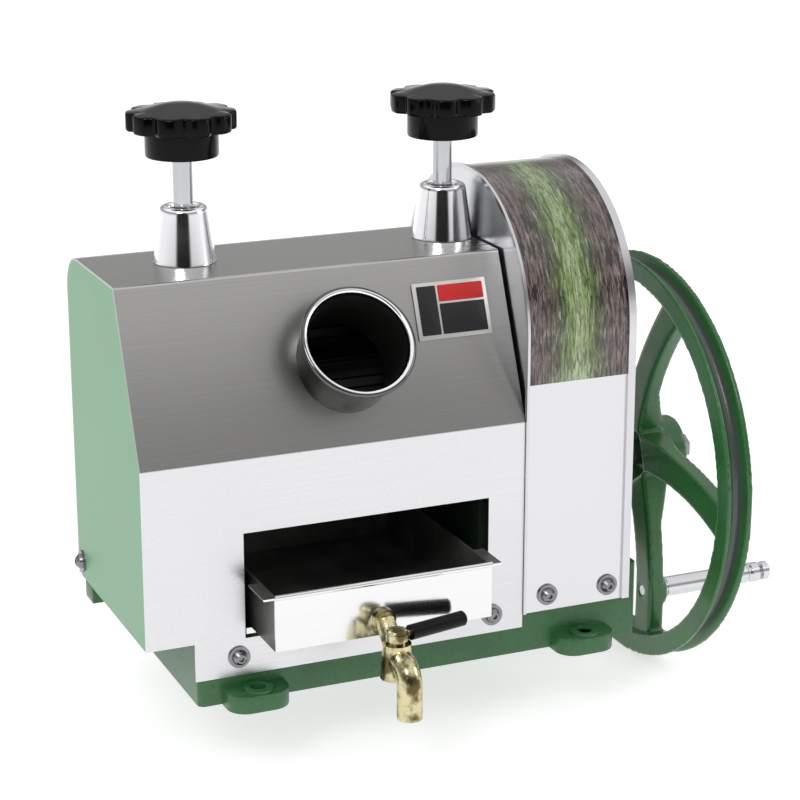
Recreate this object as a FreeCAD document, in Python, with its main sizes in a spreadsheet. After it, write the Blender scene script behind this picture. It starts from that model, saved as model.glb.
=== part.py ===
import FreeCAD, Part
import Sketcher
import math
import os
from FreeCAD import Placement, Rotation, Vector

# Hand-cranked sugarcane juicer.  Origin: middle of the cast base's underside, which stands on
# a bench.  +X points along the rollers towards the handwheel, +Y to the back, +Z up.

doc = FreeCAD.newDocument("cane_juicer")
sheet = doc.addObject("Spreadsheet::Sheet", "sizes")

SIZES = (
    # cast base
    ("base_length", 348), ("base_depth", 226), ("base_wall", 8), ("base_floor", 8),
    ("base_rim", 47), ("gear_bay_rim", 57), ("base_corner", 5),
    ("lug_width", 46), ("lug_reach", 24), ("lug_height", 13), ("lug_hole_radius", 5.5),
    ("lug_hole_offset", 12), ("lug_spacing", 258), ("lug_shift", -5),
    ("rear_lug_overhang", 14),
    # roller frame
    ("wall_thickness", 18), ("wall_span", 200), ("wall_inset", 32), ("bridge_height", 20.5),
    ("wall_front", -98), ("wall_back", 44),
    ("top_axis_y", -10), ("top_axis_z", 237.5), ("roller_radius", 29.5), ("nip_gap", 1),
    ("front_sine", 0.7071), ("front_cosine", 0.7071),
    ("rear_sine", 0.4695), ("rear_cosine", 0.8829),
    ("journal_radius", 14), ("bush_wall", 4), ("running_gap", 0.08), ("end_gap", 1),
    ("block_width", 44), ("block_height", 48), ("block_lift", 1.5),
    ("spring_room", 9), ("pad_height", 3.5), ("scraper_gap", 0.4),
    ("tie_rod_height", 138), ("tie_rod_radius", 7),
    # gears
    ("roller_teeth", 20), ("gear_teeth", 64), ("pinion_teeth", 24), ("drive_module", 3),
    ("gear_width", 18), ("backlash", 0.3), ("roller_gear_backlash", 0.85), ("shaft_radius", 9),
    # folded main cover
    ("sheet", 1.5), ("cover_overhang", 37.6), ("cover_length", 289), ("cover_bottom", 20.7),
    ("notch_top", 49), ("bend_height", 179.7), ("slope_run", 47.6), ("cover_height", 297),
    ("cover_back", 54), ("back_corner", 28), ("bend_radius", 2.5),
    ("window_length", 188), ("window_inset", 72.6), ("window_sill", 48), ("window_height", 78),
    # feed tube on the slope
    ("tube_inset", 159.1), ("tube_up", 60.5), ("tube_radius", 36.5), ("tube_wall", 1.6),
    ("tube_out", 30), ("tube_in", 18), ("tube_flare", 3.1), ("tube_bead", 2.4), ("tube_tilt", 15.9),
    # gear cover
    ("gear_cover_gap", 2.3), ("gear_cover_length", 80), ("gear_cover_radius", 107.5),
    ("gear_cover_y", -7), ("gear_cover_z", 239), ("gear_cover_bottom", 31), ("gear_cover_lip", 6),
    # adjusting screws
    ("cup_radius", 22), ("cup_top_radius", 17), ("cup_height", 40),
    ("screw_radius", 7), ("knob_rise", 74), ("knob_radius", 40), ("knob_hub_radius", 26),
    ("knob_hub_height", 15), ("knob_disc_height", 17), ("knob_dome", 9),
    # handwheel and crank handle
    ("wheel_radius", 161), ("wheel_gap", 42), ("wheel_width", 21), ("rim_depth", 17),
    ("hub_radius", 27), ("hub_offset", 15), ("hub_length", 29),
    ("handle_circle", 110), ("handle_radius", 8), ("handle_length", 92),
    # juice tray and tap
    ("tray_inset", 10), ("tray_length", 165), ("tray_front", -148), ("tray_back", 40),
    ("tray_height", 40), ("tray_ear", 8), ("tap_inset", 81), ("tap_drop", 56),
    # fasteners
    ("bolt_radius", 4), ("washer_radius", 8), ("washer_height", 1.5), ("bolt_head_height", 4),
)
for row, (alias, number) in enumerate(SIZES, 1):
    sheet.set(f"A{row}", alias)
    sheet.set(f"B{row}", str(number))
    sheet.setAlias(f"B{row}", alias)
doc.recompute()


class Size:
    """A length with its value and the sheet expression that gives it."""

    def __init__(self, text, value):
        self.text = text
        self.value = float(value)

    def __float__(self):
        return self.value

    def __add__(self, other):
        other = as_size(other)
        return Size(f"({self.text} + {other.text})", self.value + other.value)

    def __sub__(self, other):
        other = as_size(other)
        return Size(f"({self.text} - {other.text})", self.value - other.value)

    def __mul__(self, other):
        other = as_size(other)
        return Size(f"({self.text} * {other.text})", self.value * other.value)

    def __truediv__(self, other):
        other = as_size(other)
        return Size(f"({self.text} / {other.text})", self.value / other.value)

    def __neg__(self):
        return as_size(0) - self

    def __radd__(self, other):
        return as_size(other) + self

    def __rsub__(self, other):
        return as_size(other) - self

    def __rmul__(self, other):
        return as_size(other) * self


def as_size(number):
    return number if isinstance(number, Size) else Size(f"({float(number)})", number)


S = type("Sizes", (), {alias: Size(f"sizes.{alias}", number) for alias, number in SIZES})

nodes = []


def node(thing, name):
    """Give a finished object the label that names its file."""
    thing.Label = name
    nodes.append(thing)
    return thing


def bind(thing, path, size):
    thing.setExpression(path, as_size(size).text)


def place(thing, x=0, y=0, z=0, rotation=None):
    thing.Placement = Placement(Vector(float(x), float(y), float(z)), rotation or Rotation())
    for axis, size in zip("xyz", (x, y, z)):
        bind(thing, f"Placement.Base.{axis}", size)
    return thing


# ---------------------------------------------------------------- primitives and booleans

TO_X = Rotation(Vector(0, 1, 0), 90)
TO_MINUS_Y = Rotation(Vector(1, 0, 0), 90)


def box(name, x0, x1, y0, y1, z0, z1):
    thing = doc.addObject("Part::Box", name)
    for prop, low, high in (("Length", x0, x1), ("Width", y0, y1), ("Height", z0, z1)):
        bind(thing, prop, as_size(high) - low)
    return place(thing, x0, y0, z0)


def cylinder(name, radius, height, x, y, z, rotation=None):
    thing = doc.addObject("Part::Cylinder", name)
    bind(thing, "Radius", radius)
    bind(thing, "Height", height)
    return place(thing, x, y, z, rotation)


def along_x(name, radius, x0, x1, y, z):
    return cylinder(name, radius, as_size(x1) - x0, x0, y, z, TO_X)


def cone(name, radius1, radius2, height, x, y, z, rotation=None):
    thing = doc.addObject("Part::Cone", name)
    bind(thing, "Radius1", radius1)
    bind(thing, "Radius2", radius2)
    bind(thing, "Height", height)
    return place(thing, x, y, z, rotation)


def fuse(name, things):
    thing = doc.addObject("Part::MultiFuse", name)
    thing.Shapes = list(things)
    thing.Refine = True
    return thing


def cut(name, base, tools):
    thing = doc.addObject("Part::Cut", name)
    thing.Base = base
    thing.Tool = tools[0] if len(tools) == 1 else fuse(name + "_tools", tools)
    thing.Refine = True
    return thing


def together(name, things):
    """Separate solids kept in one node."""
    thing = doc.addObject("Part::Compound", name)
    thing.Links = list(things)
    return thing


def feature(name, shape, placement=None):
    thing = doc.addObject("Part::Feature", name)
    thing.Shape = shape
    thing.Placement = placement or Placement()
    return thing


# ---------------------------------------------------------------- PartDesign helpers

def new_body(name):
    return doc.addObject("PartDesign::Body", name)


def new_sketch(body, plane, offset=0):
    sketch = body.newObject("Sketcher::SketchObject", f"{body.Name}_sketch")
    origin_plane = [item for item in body.Origin.OriginFeatures if item.Role == plane][0]
    sketch.AttachmentSupport = [(origin_plane, "")]
    sketch.MapMode = "FlatFace"
    bind(sketch, "AttachmentOffset.Base.z", offset)
    return sketch


def outline(sketch, corners):
    """Closed loop of straight lines whose corners are tied to the sheet."""
    points = [Vector(float(u), float(v), 0) for u, v in corners]
    first = sketch.GeometryCount
    count = len(points)
    for i in range(count):
        sketch.addGeometry(Part.LineSegment(points[i], points[(i + 1) % count]), False)
    for i in range(count):
        line, following = first + i, first + (i + 1) % count
        sketch.addConstraint(Sketcher.Constraint("Coincident", line, 2, following, 1))
    for i, (u, v) in enumerate(corners):
        for kind, size in (("DistanceX", u), ("DistanceY", v)):
            index = sketch.addConstraint(
                Sketcher.Constraint(kind, -1, 1, first + i, 1, float(size)))
            bind(sketch, f"Constraints[{index}]", size)


def circle(sketch, u, v, radius):
    index = sketch.addGeometry(Part.Circle(Vector(float(u), float(v), 0), Vector(0, 0, 1),
                                           float(radius)), False)
    for kind, size in (("DistanceX", u), ("DistanceY", v)):
        number = sketch.addConstraint(Sketcher.Constraint(kind, -1, 1, index, 3, float(size)))
        bind(sketch, f"Constraints[{number}]", size)
    number = sketch.addConstraint(Sketcher.Constraint("Radius", index, float(radius)))
    bind(sketch, f"Constraints[{number}]", radius)


def pad(body, sketch, length, reverse=False):
    thing = body.newObject("PartDesign::Pad", f"{body.Name}_pad")
    thing.Profile = sketch
    thing.Reversed = reverse
    bind(thing, "Length", length)
    sketch.Visibility = False
    doc.recompute()
    return thing


def pocket(body, sketch, length, reverse=False):
    before = body.Shape.Volume
    thing = body.newObject("PartDesign::Pocket", f"{body.Name}_pocket")
    thing.Profile = sketch
    thing.Reversed = reverse
    bind(thing, "Length", length)
    doc.recompute()
    if body.Shape.Volume > before - 0.01:
        raise RuntimeError(f"{thing.Name} cuts nothing")
    return thing


def dress(body, kind, edges, size):
    """Fillet or chamfer the edges of a body's tip that the test accepts."""
    base = body.Tip
    names = [f"Edge{i + 1}" for i, edge in enumerate(base.Shape.Edges) if edges(edge)]
    if not names:
        raise RuntimeError(f"{body.Name}: no edge to dress")
    thing = body.newObject(f"PartDesign::{kind}", f"{body.Name}_{kind.lower()}")
    thing.Base = (base, names)
    bind(thing, "Radius" if kind == "Fillet" else "Size", size)
    doc.recompute()
    return thing


def runs(edge, axis):
    """True for a straight edge that lies along the axis."""
    if edge.Curve.TypeId != "Part::GeomLine":
        return False
    return abs(edge.Curve.Direction.dot(axis)) > 0.999


SEAT_GAP = 0.02
X_WAY, Z_WAY = Vector(1, 0, 0), Vector(0, 0, 1)

# ---------------------------------------------------------------- places worked out once

base_left = -S.base_length / 2
base_right = S.base_length / 2
base_front = -S.base_depth / 2
base_back = S.base_depth / 2

wall_left_x = base_left + S.wall_inset
wall_right_x = wall_left_x + S.wall_span
wall_height = S.cover_height - S.sheet - S.bridge_height
inner_left = wall_left_x + S.wall_thickness / 2
inner_right = wall_right_x - S.wall_thickness / 2
outer_left = wall_left_x - S.wall_thickness / 2
outer_right = wall_right_x + S.wall_thickness / 2

roller_distance = 2 * S.roller_radius + S.nip_gap
front_axis_y = S.top_axis_y - roller_distance * S.front_sine
front_axis_z = S.top_axis_z - roller_distance * S.front_cosine
rear_axis_y = S.top_axis_y + roller_distance * S.rear_sine
rear_axis_z = S.top_axis_z - roller_distance * S.rear_cosine
drive_distance = S.drive_module * (S.gear_teeth + S.pinion_teeth) / 2
shaft_y = S.top_axis_y
shaft_z = S.top_axis_z - drive_distance
bush_radius = S.journal_radius + S.bush_wall
block_bottom = S.top_axis_z - S.block_height / 2
block_top = S.top_axis_z + S.block_height / 2

cover_left = base_left - S.cover_overhang
cover_right = cover_left + S.cover_length
cover_front = base_front - S.sheet
window_left = cover_left + S.window_inset
tube_x = cover_left + S.tube_inset
tray_left = window_left + S.tray_inset
tap_x = tray_left + S.tap_inset
gear_cover_left = cover_right + S.gear_cover_gap
gear_cover_right = gear_cover_left + S.gear_cover_length
wheel_left = base_right + S.wheel_gap
hub_left = wheel_left + S.hub_offset
knob_height = S.cover_height + S.knob_rise


# ---------------------------------------------------------------- cast base

def make_base():
    """Open cast box: floor with windows, rim walls, a higher bay for the gears, four lugs."""
    body = new_body("base_frame")
    sketch = new_sketch(body, "XY_Plane")
    outline(sketch, ((base_left, base_front), (base_right, base_front),
                     (base_right, base_back), (base_left, base_back)))
    pad(body, sketch, S.base_rim)
    sketch = new_sketch(body, "XY_Plane", S.base_rim)
    bay_left = gear_cover_left
    outline(sketch, ((bay_left, base_front), (base_right, base_front),
                     (base_right, base_back), (bay_left, base_back)))
    pad(body, sketch, S.gear_bay_rim - S.base_rim)
    dress(body, "Fillet", lambda edge: runs(edge, Z_WAY) and
          abs(abs(edge.CenterOfMass.y) - float(base_back)) < 0.1 and
          abs(abs(edge.CenterOfMass.x) - float(base_right)) < 0.1, S.base_corner)
    sketch = new_sketch(body, "XY_Plane", S.gear_bay_rim)
    outline(sketch, ((base_left + S.base_wall, base_front + S.base_wall),
                     (base_right - S.base_wall, base_front + S.base_wall),
                     (base_right - S.base_wall, base_back - S.base_wall),
                     (base_left + S.base_wall, base_back - S.base_wall)))
    pocket(body, sketch, S.gear_bay_rim - S.base_floor)
    # Two windows in the floor, clear of the roller frame's feet and of the middle rib.
    rib = 2 * S.base_wall
    middle = (inner_left + inner_right) / 2
    for low, high in ((inner_left + rib, middle - rib / 2), (middle + rib / 2, inner_right - rib)):
        sketch = new_sketch(body, "XY_Plane", S.base_floor)
        outline(sketch, ((low, base_front + 4 * S.base_wall), (high, base_front + 4 * S.base_wall),
                         (high, base_back - 4 * S.base_wall), (low, base_back - 4 * S.base_wall)))
        pocket(body, sketch, S.base_floor)
    # Lugs: ears with a raised boss round each bolt hole.
    lug_places = lug_centres()
    for x, y, forward in lug_places:
        sketch = new_sketch(body, "XY_Plane")
        root = y - forward * (S.lug_hole_offset + S.base_wall)
        tip = y + forward * (S.lug_reach - S.lug_hole_offset)
        outline(sketch, ((x - S.lug_width / 2, root), (x + S.lug_width / 2, root),
                         (x + S.lug_width / 2, tip), (x - S.lug_width / 2, tip)))
        pad(body, sketch, S.lug_height)
    reach = float(base_back + S.lug_reach)
    dress(body, "Fillet", lambda edge: runs(edge, Z_WAY) and
          abs(abs(edge.CenterOfMass.y) - reach) < 0.1, S.lug_reach * 0.6)
    for x, y, forward in lug_places:
        sketch = new_sketch(body, "XY_Plane", S.lug_height)
        circle(sketch, x, y, S.lug_hole_radius * 2)
        pad(body, sketch, S.lug_height / 6)
    for x, y, forward in lug_places:
        sketch = new_sketch(body, "XY_Plane", S.lug_height * 2)
        circle(sketch, x, y, S.lug_hole_radius)
        pocket(body, sketch, S.lug_height * 2)
    return node(body, "base_frame")


def lug_centres():
    """Bolt hole centres of the four lugs, each with its outward way along Y."""
    front = base_front - S.lug_hole_offset
    back = base_back + S.lug_hole_offset
    corner = base_right + S.rear_lug_overhang - S.lug_width / 2
    return ((S.lug_shift - S.lug_spacing / 2, front, -1), (S.lug_shift + S.lug_spacing / 2, front, -1),
            (-corner, back, 1), (corner, back, 1))


# ---------------------------------------------------------------- roller frame

def wall_profile(sketch):
    """Side plate of the roller frame, leaning back at the top front like the cover."""
    lean_foot = S.bend_height - 12
    lean_top = S.wall_front + S.slope_run * (wall_height - lean_foot) / (S.cover_height - S.bend_height)
    outline(sketch, ((S.wall_front, S.base_floor), (S.wall_back, S.base_floor),
                     (S.wall_back, wall_height), (lean_top, wall_height),
                     (S.wall_front, lean_foot)))


def make_wall(name, left):
    body = new_body(name)
    sketch = new_sketch(body, "YZ_Plane", left)
    wall_profile(sketch)
    pad(body, sketch, S.wall_thickness)
    past = left + S.wall_thickness
    # Guide slot of the sliding block, open at the top.
    sketch = new_sketch(body, "YZ_Plane", past)
    half = S.block_width / 2 + S.running_gap
    outline(sketch, ((S.top_axis_y - half, block_bottom), (S.top_axis_y + half, block_bottom),
                     (S.top_axis_y + half, wall_height + 1), (S.top_axis_y - half, wall_height + 1)))
    pocket(body, sketch, S.wall_thickness)
    # Bores of the two lower rollers and, lower down, a lightening window.
    for y, z in ((front_axis_y, front_axis_z), (rear_axis_y, rear_axis_z)):
        sketch = new_sketch(body, "YZ_Plane", past)
        circle(sketch, y, z, bush_radius + SEAT_GAP)
        pocket(body, sketch, S.wall_thickness)
    for y in (S.wall_front + 24, S.wall_back - 22):
        sketch = new_sketch(body, "YZ_Plane", past)
        circle(sketch, y, S.tie_rod_height, S.tie_rod_radius - 2 + SEAT_GAP)
        pocket(body, sketch, S.wall_thickness)
    sketch = new_sketch(body, "YZ_Plane", past)
    if name == "wall_right":
        circle(sketch, shaft_y, shaft_z, S.shaft_radius + S.bush_wall + SEAT_GAP)
    else:
        window_low, window_high = 3 * S.base_rim / 2, S.tie_rod_height - 14
        outline(sketch, ((S.wall_front + 24, window_low), (S.wall_back - 24, window_low),
                         (S.wall_back - 24, window_high), (S.wall_front + 24, window_high)))
    pocket(body, sketch, S.wall_thickness)
    dress(body, "Fillet", lambda edge: runs(edge, X_WAY) and
          edge.CenterOfMass.z > float(S.base_floor) + 1 and
          abs(edge.CenterOfMass.z - float(block_bottom)) > 1 and
          abs(edge.CenterOfMass.y - float(S.top_axis_y)) > float(half) + 1, 4)
    return node(body, name)


def make_feet():
    """Angle feet that bolt both side plates to the floor of the base."""
    feet = []
    for number, (x, way) in enumerate(((inner_left, 1), (inner_right, -1))):
        for spot, (y0, y1) in enumerate(((S.wall_front + 6, S.wall_front + 36),
                                         (S.wall_back - 36, S.wall_back - 6))):
            x0, x1 = (x, x + 14) if way > 0 else (x - 14, x)
            upright = (x, x + 5) if way > 0 else (x - 5, x)
            label = f"foot_{number}_{spot}"
            floor = box(label + "_floor", x0, x1, y0, y1, S.base_floor, S.base_floor + 5)
            side = box(label + "_side", upright[0], upright[1], y0, y1, S.base_floor, S.base_floor + 28)
            feet.append(fuse(label, (floor, side)))
    return node(together("wall_feet_set", feet), "wall_feet")


def make_bridges():
    """Nut bars across the slots, through which the adjusting screws are threaded."""
    bars = []
    for side, x in (("left", wall_left_x), ("right", wall_right_x)):
        half = S.block_width / 2 + 14
        bar = box(f"bridge_{side}_bar", x - S.wall_thickness / 2, x + S.wall_thickness / 2,
                  S.top_axis_y - half, S.top_axis_y + half, wall_height,
                  S.cover_height - S.sheet)
        bore = cylinder(f"bridge_{side}_bore", S.screw_radius + S.running_gap, 3 * S.bridge_height,
                        x, S.top_axis_y, wall_height - S.bridge_height)
        bars.append(cut(f"bridge_{side}", bar, (bore,)))
    return node(together("bridges", bars), "screw_bridges")


def ring(name, outer, inner, x0, x1, y, z):
    return cut(name, along_x(name + "_outer", outer, x0, x1, y, z),
               (along_x(name + "_bore", inner, x0 - 1, x1 + 1, y, z),))


def make_bushes():
    bore = S.journal_radius + S.running_gap
    lower = []
    for side, x in (("left", wall_left_x), ("right", wall_right_x)):
        for place_name, y, z in (("front", front_axis_y, front_axis_z), ("rear", rear_axis_y, rear_axis_z)):
            lower.append(ring(f"lower_bush_{side}_{place_name}", bush_radius, bore,
                              x - S.wall_thickness / 2, x + S.wall_thickness / 2, y, z))
    node(together("lower_bush_set", lower), "lower_bushes")
    top = [ring(f"top_bush_{side}", bush_radius, bore, x - S.wall_thickness / 2,
                x + S.wall_thickness / 2, S.top_axis_y, S.top_axis_z)
           for side, x in (("left", wall_left_x), ("right", wall_right_x))]
    node(together("top_bush_set", top), "top_bushes")


def make_blocks():
    """Bearing blocks of the top roller: they slide in the slots under the screws."""
    blocks = []
    for side, x in (("left", wall_left_x), ("right", wall_right_x)):
        half, x0, x1 = S.block_width / 2, x - S.wall_thickness / 2, x + S.wall_thickness / 2
        block = box(f"block_{side}_blank", x0, x1, S.top_axis_y - half, S.top_axis_y + half,
                    block_bottom, block_top)
        bore = along_x(f"block_{side}_bore", bush_radius + SEAT_GAP, x0 - 1, x1 + 1,
                       S.top_axis_y, S.top_axis_z)
        blocks.append(cut(f"block_{side}", block, (bore,)))
    return node(together("block_set", blocks), "bearing_blocks")


# ---------------------------------------------------------------- gears

def involute_point(base_radius, angle):
    return Vector(base_radius * (math.cos(angle) + angle * math.sin(angle)),
                  base_radius * (math.sin(angle) - angle * math.cos(angle)), 0)


def gear_face(teeth, module, bore, phase, backlash, key=0):
    """Involute spur gear outline with one tooth centred at the phase angle, in degrees."""
    pressure = math.radians(20)
    pitch_radius = module * teeth / 2
    base_radius = pitch_radius * math.cos(pressure)
    tip_radius = pitch_radius + module
    root_radius = pitch_radius - 1.25 * module
    half_tooth = (math.pi * module / 2 - float(backlash)) / 2 / pitch_radius
    roll_at_pitch = math.tan(pressure)
    flank_turn = roll_at_pitch - math.atan(roll_at_pitch)
    start_radius = max(base_radius, root_radius)
    rolls = [math.sqrt((radius / base_radius) ** 2 - 1) if radius > base_radius else 0.0
             for radius in (start_radius, pitch_radius, tip_radius)]
    right = [involute_point(base_radius, roll) for roll in rolls]
    pitch_angle = 2 * math.pi / teeth

    def turned(point, angle):
        cosine, sine = math.cos(angle), math.sin(angle)
        return Vector(point.x * cosine - point.y * sine, point.x * sine + point.y * cosine, 0)

    def polar(radius, angle):
        return Vector(radius * math.cos(angle), radius * math.sin(angle), 0)

    corners = []
    for tooth in range(teeth):
        middle = math.radians(phase) + tooth * pitch_angle
        shift = half_tooth + flank_turn
        rising = [turned(point, middle - shift) for point in right]
        falling = [turned(Vector(point.x, -point.y, 0), middle + shift) for point in reversed(right)]
        foot_low = polar(root_radius, middle - shift)
        foot_high = polar(root_radius, middle + shift)
        flanks = rising + falling
        corners += flanks if root_radius > base_radius else [foot_low] + flanks + [foot_high]
    corners.append(corners[0])
    wire = Part.makePolygon(corners)
    face = Part.Face(wire)
    hole = Part.Face(Part.Wire(Part.makeCircle(bore)))
    if key:
        slot = Part.makePlane(key, bore + key / 2, Vector(-key / 2, 0, 0))
        hole = hole.fuse(slot)
    return face.cut(hole)


# The gear outline is drawn in its own XY plane and turned so that its x runs along +Y and its
# y along +Z of the machine.
FACING_X = Rotation(Vector(0, 1, 0), Vector(0, 0, 1), Vector(1, 0, 0))


def gear(name, teeth, module, width, x0, y, z, bore, phase, backlash, rim=0, hub=0):
    """Spur gear blank with teeth, keyway and, on a wide gear, a thinner web with round holes."""
    face = gear_face(int(float(teeth)), float(module), float(bore), phase, backlash, key=6)
    shape = face.extrude(Vector(0, 0, float(width)))
    if rim:
        depth = float(width) * 0.28
        for base in (0.0, float(width) - depth):
            recess = Part.makeCylinder(rim, depth, Vector(0, 0, base))
            recess = recess.cut(Part.makeCylinder(hub, depth, Vector(0, 0, base)))
            shape = shape.cut(recess)
        for i in range(6):
            hole = Part.makeCylinder((rim - hub) * 0.32, float(width),
                                     Vector((rim + hub) / 2, 0, 0))
            hole.rotate(Vector(), Vector(0, 0, 1), 60 * i)
            shape = shape.cut(hole)
    thing = feature(name + "_gear", shape, Placement(Vector(float(x0), float(y), float(z)), FACING_X))
    return node(thing, name)


def make_gears():
    module = float(roller_distance) / float(S.roller_teeth)
    step = 360 / float(S.roller_teeth)
    x0 = outer_left - 9 - S.gear_width
    bore = float(S.journal_radius) + 0.02
    to_front = math.degrees(math.atan2(-float(S.front_cosine), -float(S.front_sine)))
    to_rear = math.degrees(math.atan2(-float(S.rear_cosine), float(S.rear_sine)))
    gear("top_roller_gear", S.roller_teeth, module, S.gear_width, x0, S.top_axis_y, S.top_axis_z,
         bore, to_front, S.roller_gear_backlash)
    gear("front_roller_gear", S.roller_teeth, module, S.gear_width, x0, front_axis_y, front_axis_z,
         bore, to_front + 180 + step / 2, S.roller_gear_backlash)
    lead = (to_front - to_rear) % step
    gear("rear_roller_gear", S.roller_teeth, module, S.gear_width, x0, rear_axis_y, rear_axis_z,
         bore, to_rear + 180 + step / 2 - lead, S.roller_gear_backlash)
    x1 = drive_gear_left()
    tip = float(S.drive_module * S.gear_teeth / 2)
    gear("drive_gear", S.gear_teeth, S.drive_module, S.gear_width, x1, S.top_axis_y, S.top_axis_z,
         bore, -90, S.backlash, rim=tip - 12, hub=float(S.journal_radius) + 12)
    gear("drive_pinion", S.pinion_teeth, S.drive_module, S.gear_width + 4, x1 - 2, shaft_y, shaft_z,
         float(S.shaft_radius) + 0.02, 90 + 180 / float(S.pinion_teeth), S.backlash)


def drive_gear_left():
    return gear_cover_left + 14


# ---------------------------------------------------------------- rollers and shafts

def roller(name, y, z, left, right, flutes):
    """Fluted roller with turned-down journals: a revolution, then grooves in a circle."""
    body = new_body(name)
    sketch = new_sketch(body, "XY_Plane")
    face_left, face_right = inner_left + S.end_gap, inner_right - S.end_gap
    outline(sketch, ((left, 0), (right, 0), (right, S.journal_radius), (face_right, S.journal_radius),
                     (face_right, S.roller_radius), (face_left, S.roller_radius),
                     (face_left, S.journal_radius), (left, S.journal_radius)))
    turned = body.newObject("PartDesign::Revolution", f"{name}_turned")
    turned.Profile = sketch
    turned.ReferenceAxis = (sketch, ["H_Axis"])
    turned.Angle = 360
    doc.recompute()
    sketch = new_sketch(body, "YZ_Plane", face_right + 1)
    depth = S.roller_radius - 1.6
    outline(sketch, ((-1.4, S.roller_radius + 1), (0, depth), (1.4, S.roller_radius + 1)))
    groove = pocket(body, sketch, face_right - face_left + 2)
    pattern = body.newObject("PartDesign::PolarPattern", f"{name}_flutes")
    pattern.Originals = [groove]
    pattern.Axis = (body.Origin.OriginFeatures[0], [""])
    pattern.Angle = 360
    pattern.Occurrences = flutes
    body.Tip = pattern
    doc.recompute()
    place(body, 0, y, z)
    return node(body, name)


def make_rollers():
    left = outer_left - 9 - S.gear_width - 4
    right = outer_right + 3
    roller("top_roller", S.top_axis_y, S.top_axis_z, left, drive_gear_left() + S.gear_width + 4, 24)
    roller("front_roller", front_axis_y, front_axis_z, left, right, 24)
    roller("rear_roller", rear_axis_y, rear_axis_z, left, right, 24)
    rod = along_x("input_shaft_rod", S.shaft_radius, inner_right + 1,
                  hub_left + S.hub_length + 2, shaft_y, shaft_z)
    seat_left, seat_right = hub_left + 3, hub_left + S.hub_length + 3
    key_seat = box("input_shaft_key_seat", seat_left, seat_right, shaft_y - 3, shaft_y + 3,
                   shaft_z + S.shaft_radius - 3, shaft_z + S.shaft_radius + 3)
    node(cut("input_shaft_cut", rod, (key_seat,)), "input_shaft")


def make_shaft_bearings():
    """Inner bush in the right wall and a pedestal outside the gear cover."""
    bore = S.shaft_radius + S.running_gap
    outer = S.shaft_radius + S.bush_wall
    x0, x1 = base_right - S.base_wall - 4, base_right
    inner = ring("input_bush_inner", outer, bore, inner_right, outer_right, shaft_y, shaft_z)
    outboard = ring("input_bush_outer", outer, bore, x0, x1 + 6, shaft_y, shaft_z)
    node(together("input_bush_set", (inner, outboard)), "input_bushes")
    body = new_body("outboard_bearing")
    sketch = new_sketch(body, "YZ_Plane", x0)
    foot = 44
    shoulder = shaft_z - 8
    outline(sketch, ((shaft_y - foot, S.gear_bay_rim), (shaft_y + foot, S.gear_bay_rim),
                     (shaft_y + foot, S.gear_bay_rim + 9), (shaft_y + 21, shoulder),
                     (shaft_y + 21, shaft_z + 21), (shaft_y - 21, shaft_z + 21),
                     (shaft_y - 21, shoulder), (shaft_y - foot, S.gear_bay_rim + 9)))
    pad(body, sketch, x1 - x0)
    dress(body, "Fillet", lambda edge: runs(edge, X_WAY) and
          edge.CenterOfMass.z > float(shaft_z), 14)
    sketch = new_sketch(body, "YZ_Plane", x1)
    circle(sketch, shaft_y, shaft_z, outer + 6)
    pad(body, sketch, 6)
    sketch = new_sketch(body, "YZ_Plane", x1 + 10)
    circle(sketch, shaft_y, shaft_z, outer + SEAT_GAP)
    pocket(body, sketch, 40)
    return node(body, "outboard_bearing")


# ---------------------------------------------------------------- covers

def cover_profile(sketch, front, back, bottom):
    outline(sketch, ((front, bottom), (back, bottom), (back, S.cover_height),
                     (base_front + S.slope_run, S.cover_height), (front, S.bend_height)))


def at_back_corner(edge):
    middle = edge.CenterOfMass
    return runs(edge, X_WAY) and middle.y > 0 and middle.z > float(S.bend_height)


def at_front_bends(edge):
    middle = edge.CenterOfMass
    return runs(edge, X_WAY) and middle.y < 0 and middle.z > float(S.bend_height) - 1


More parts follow.
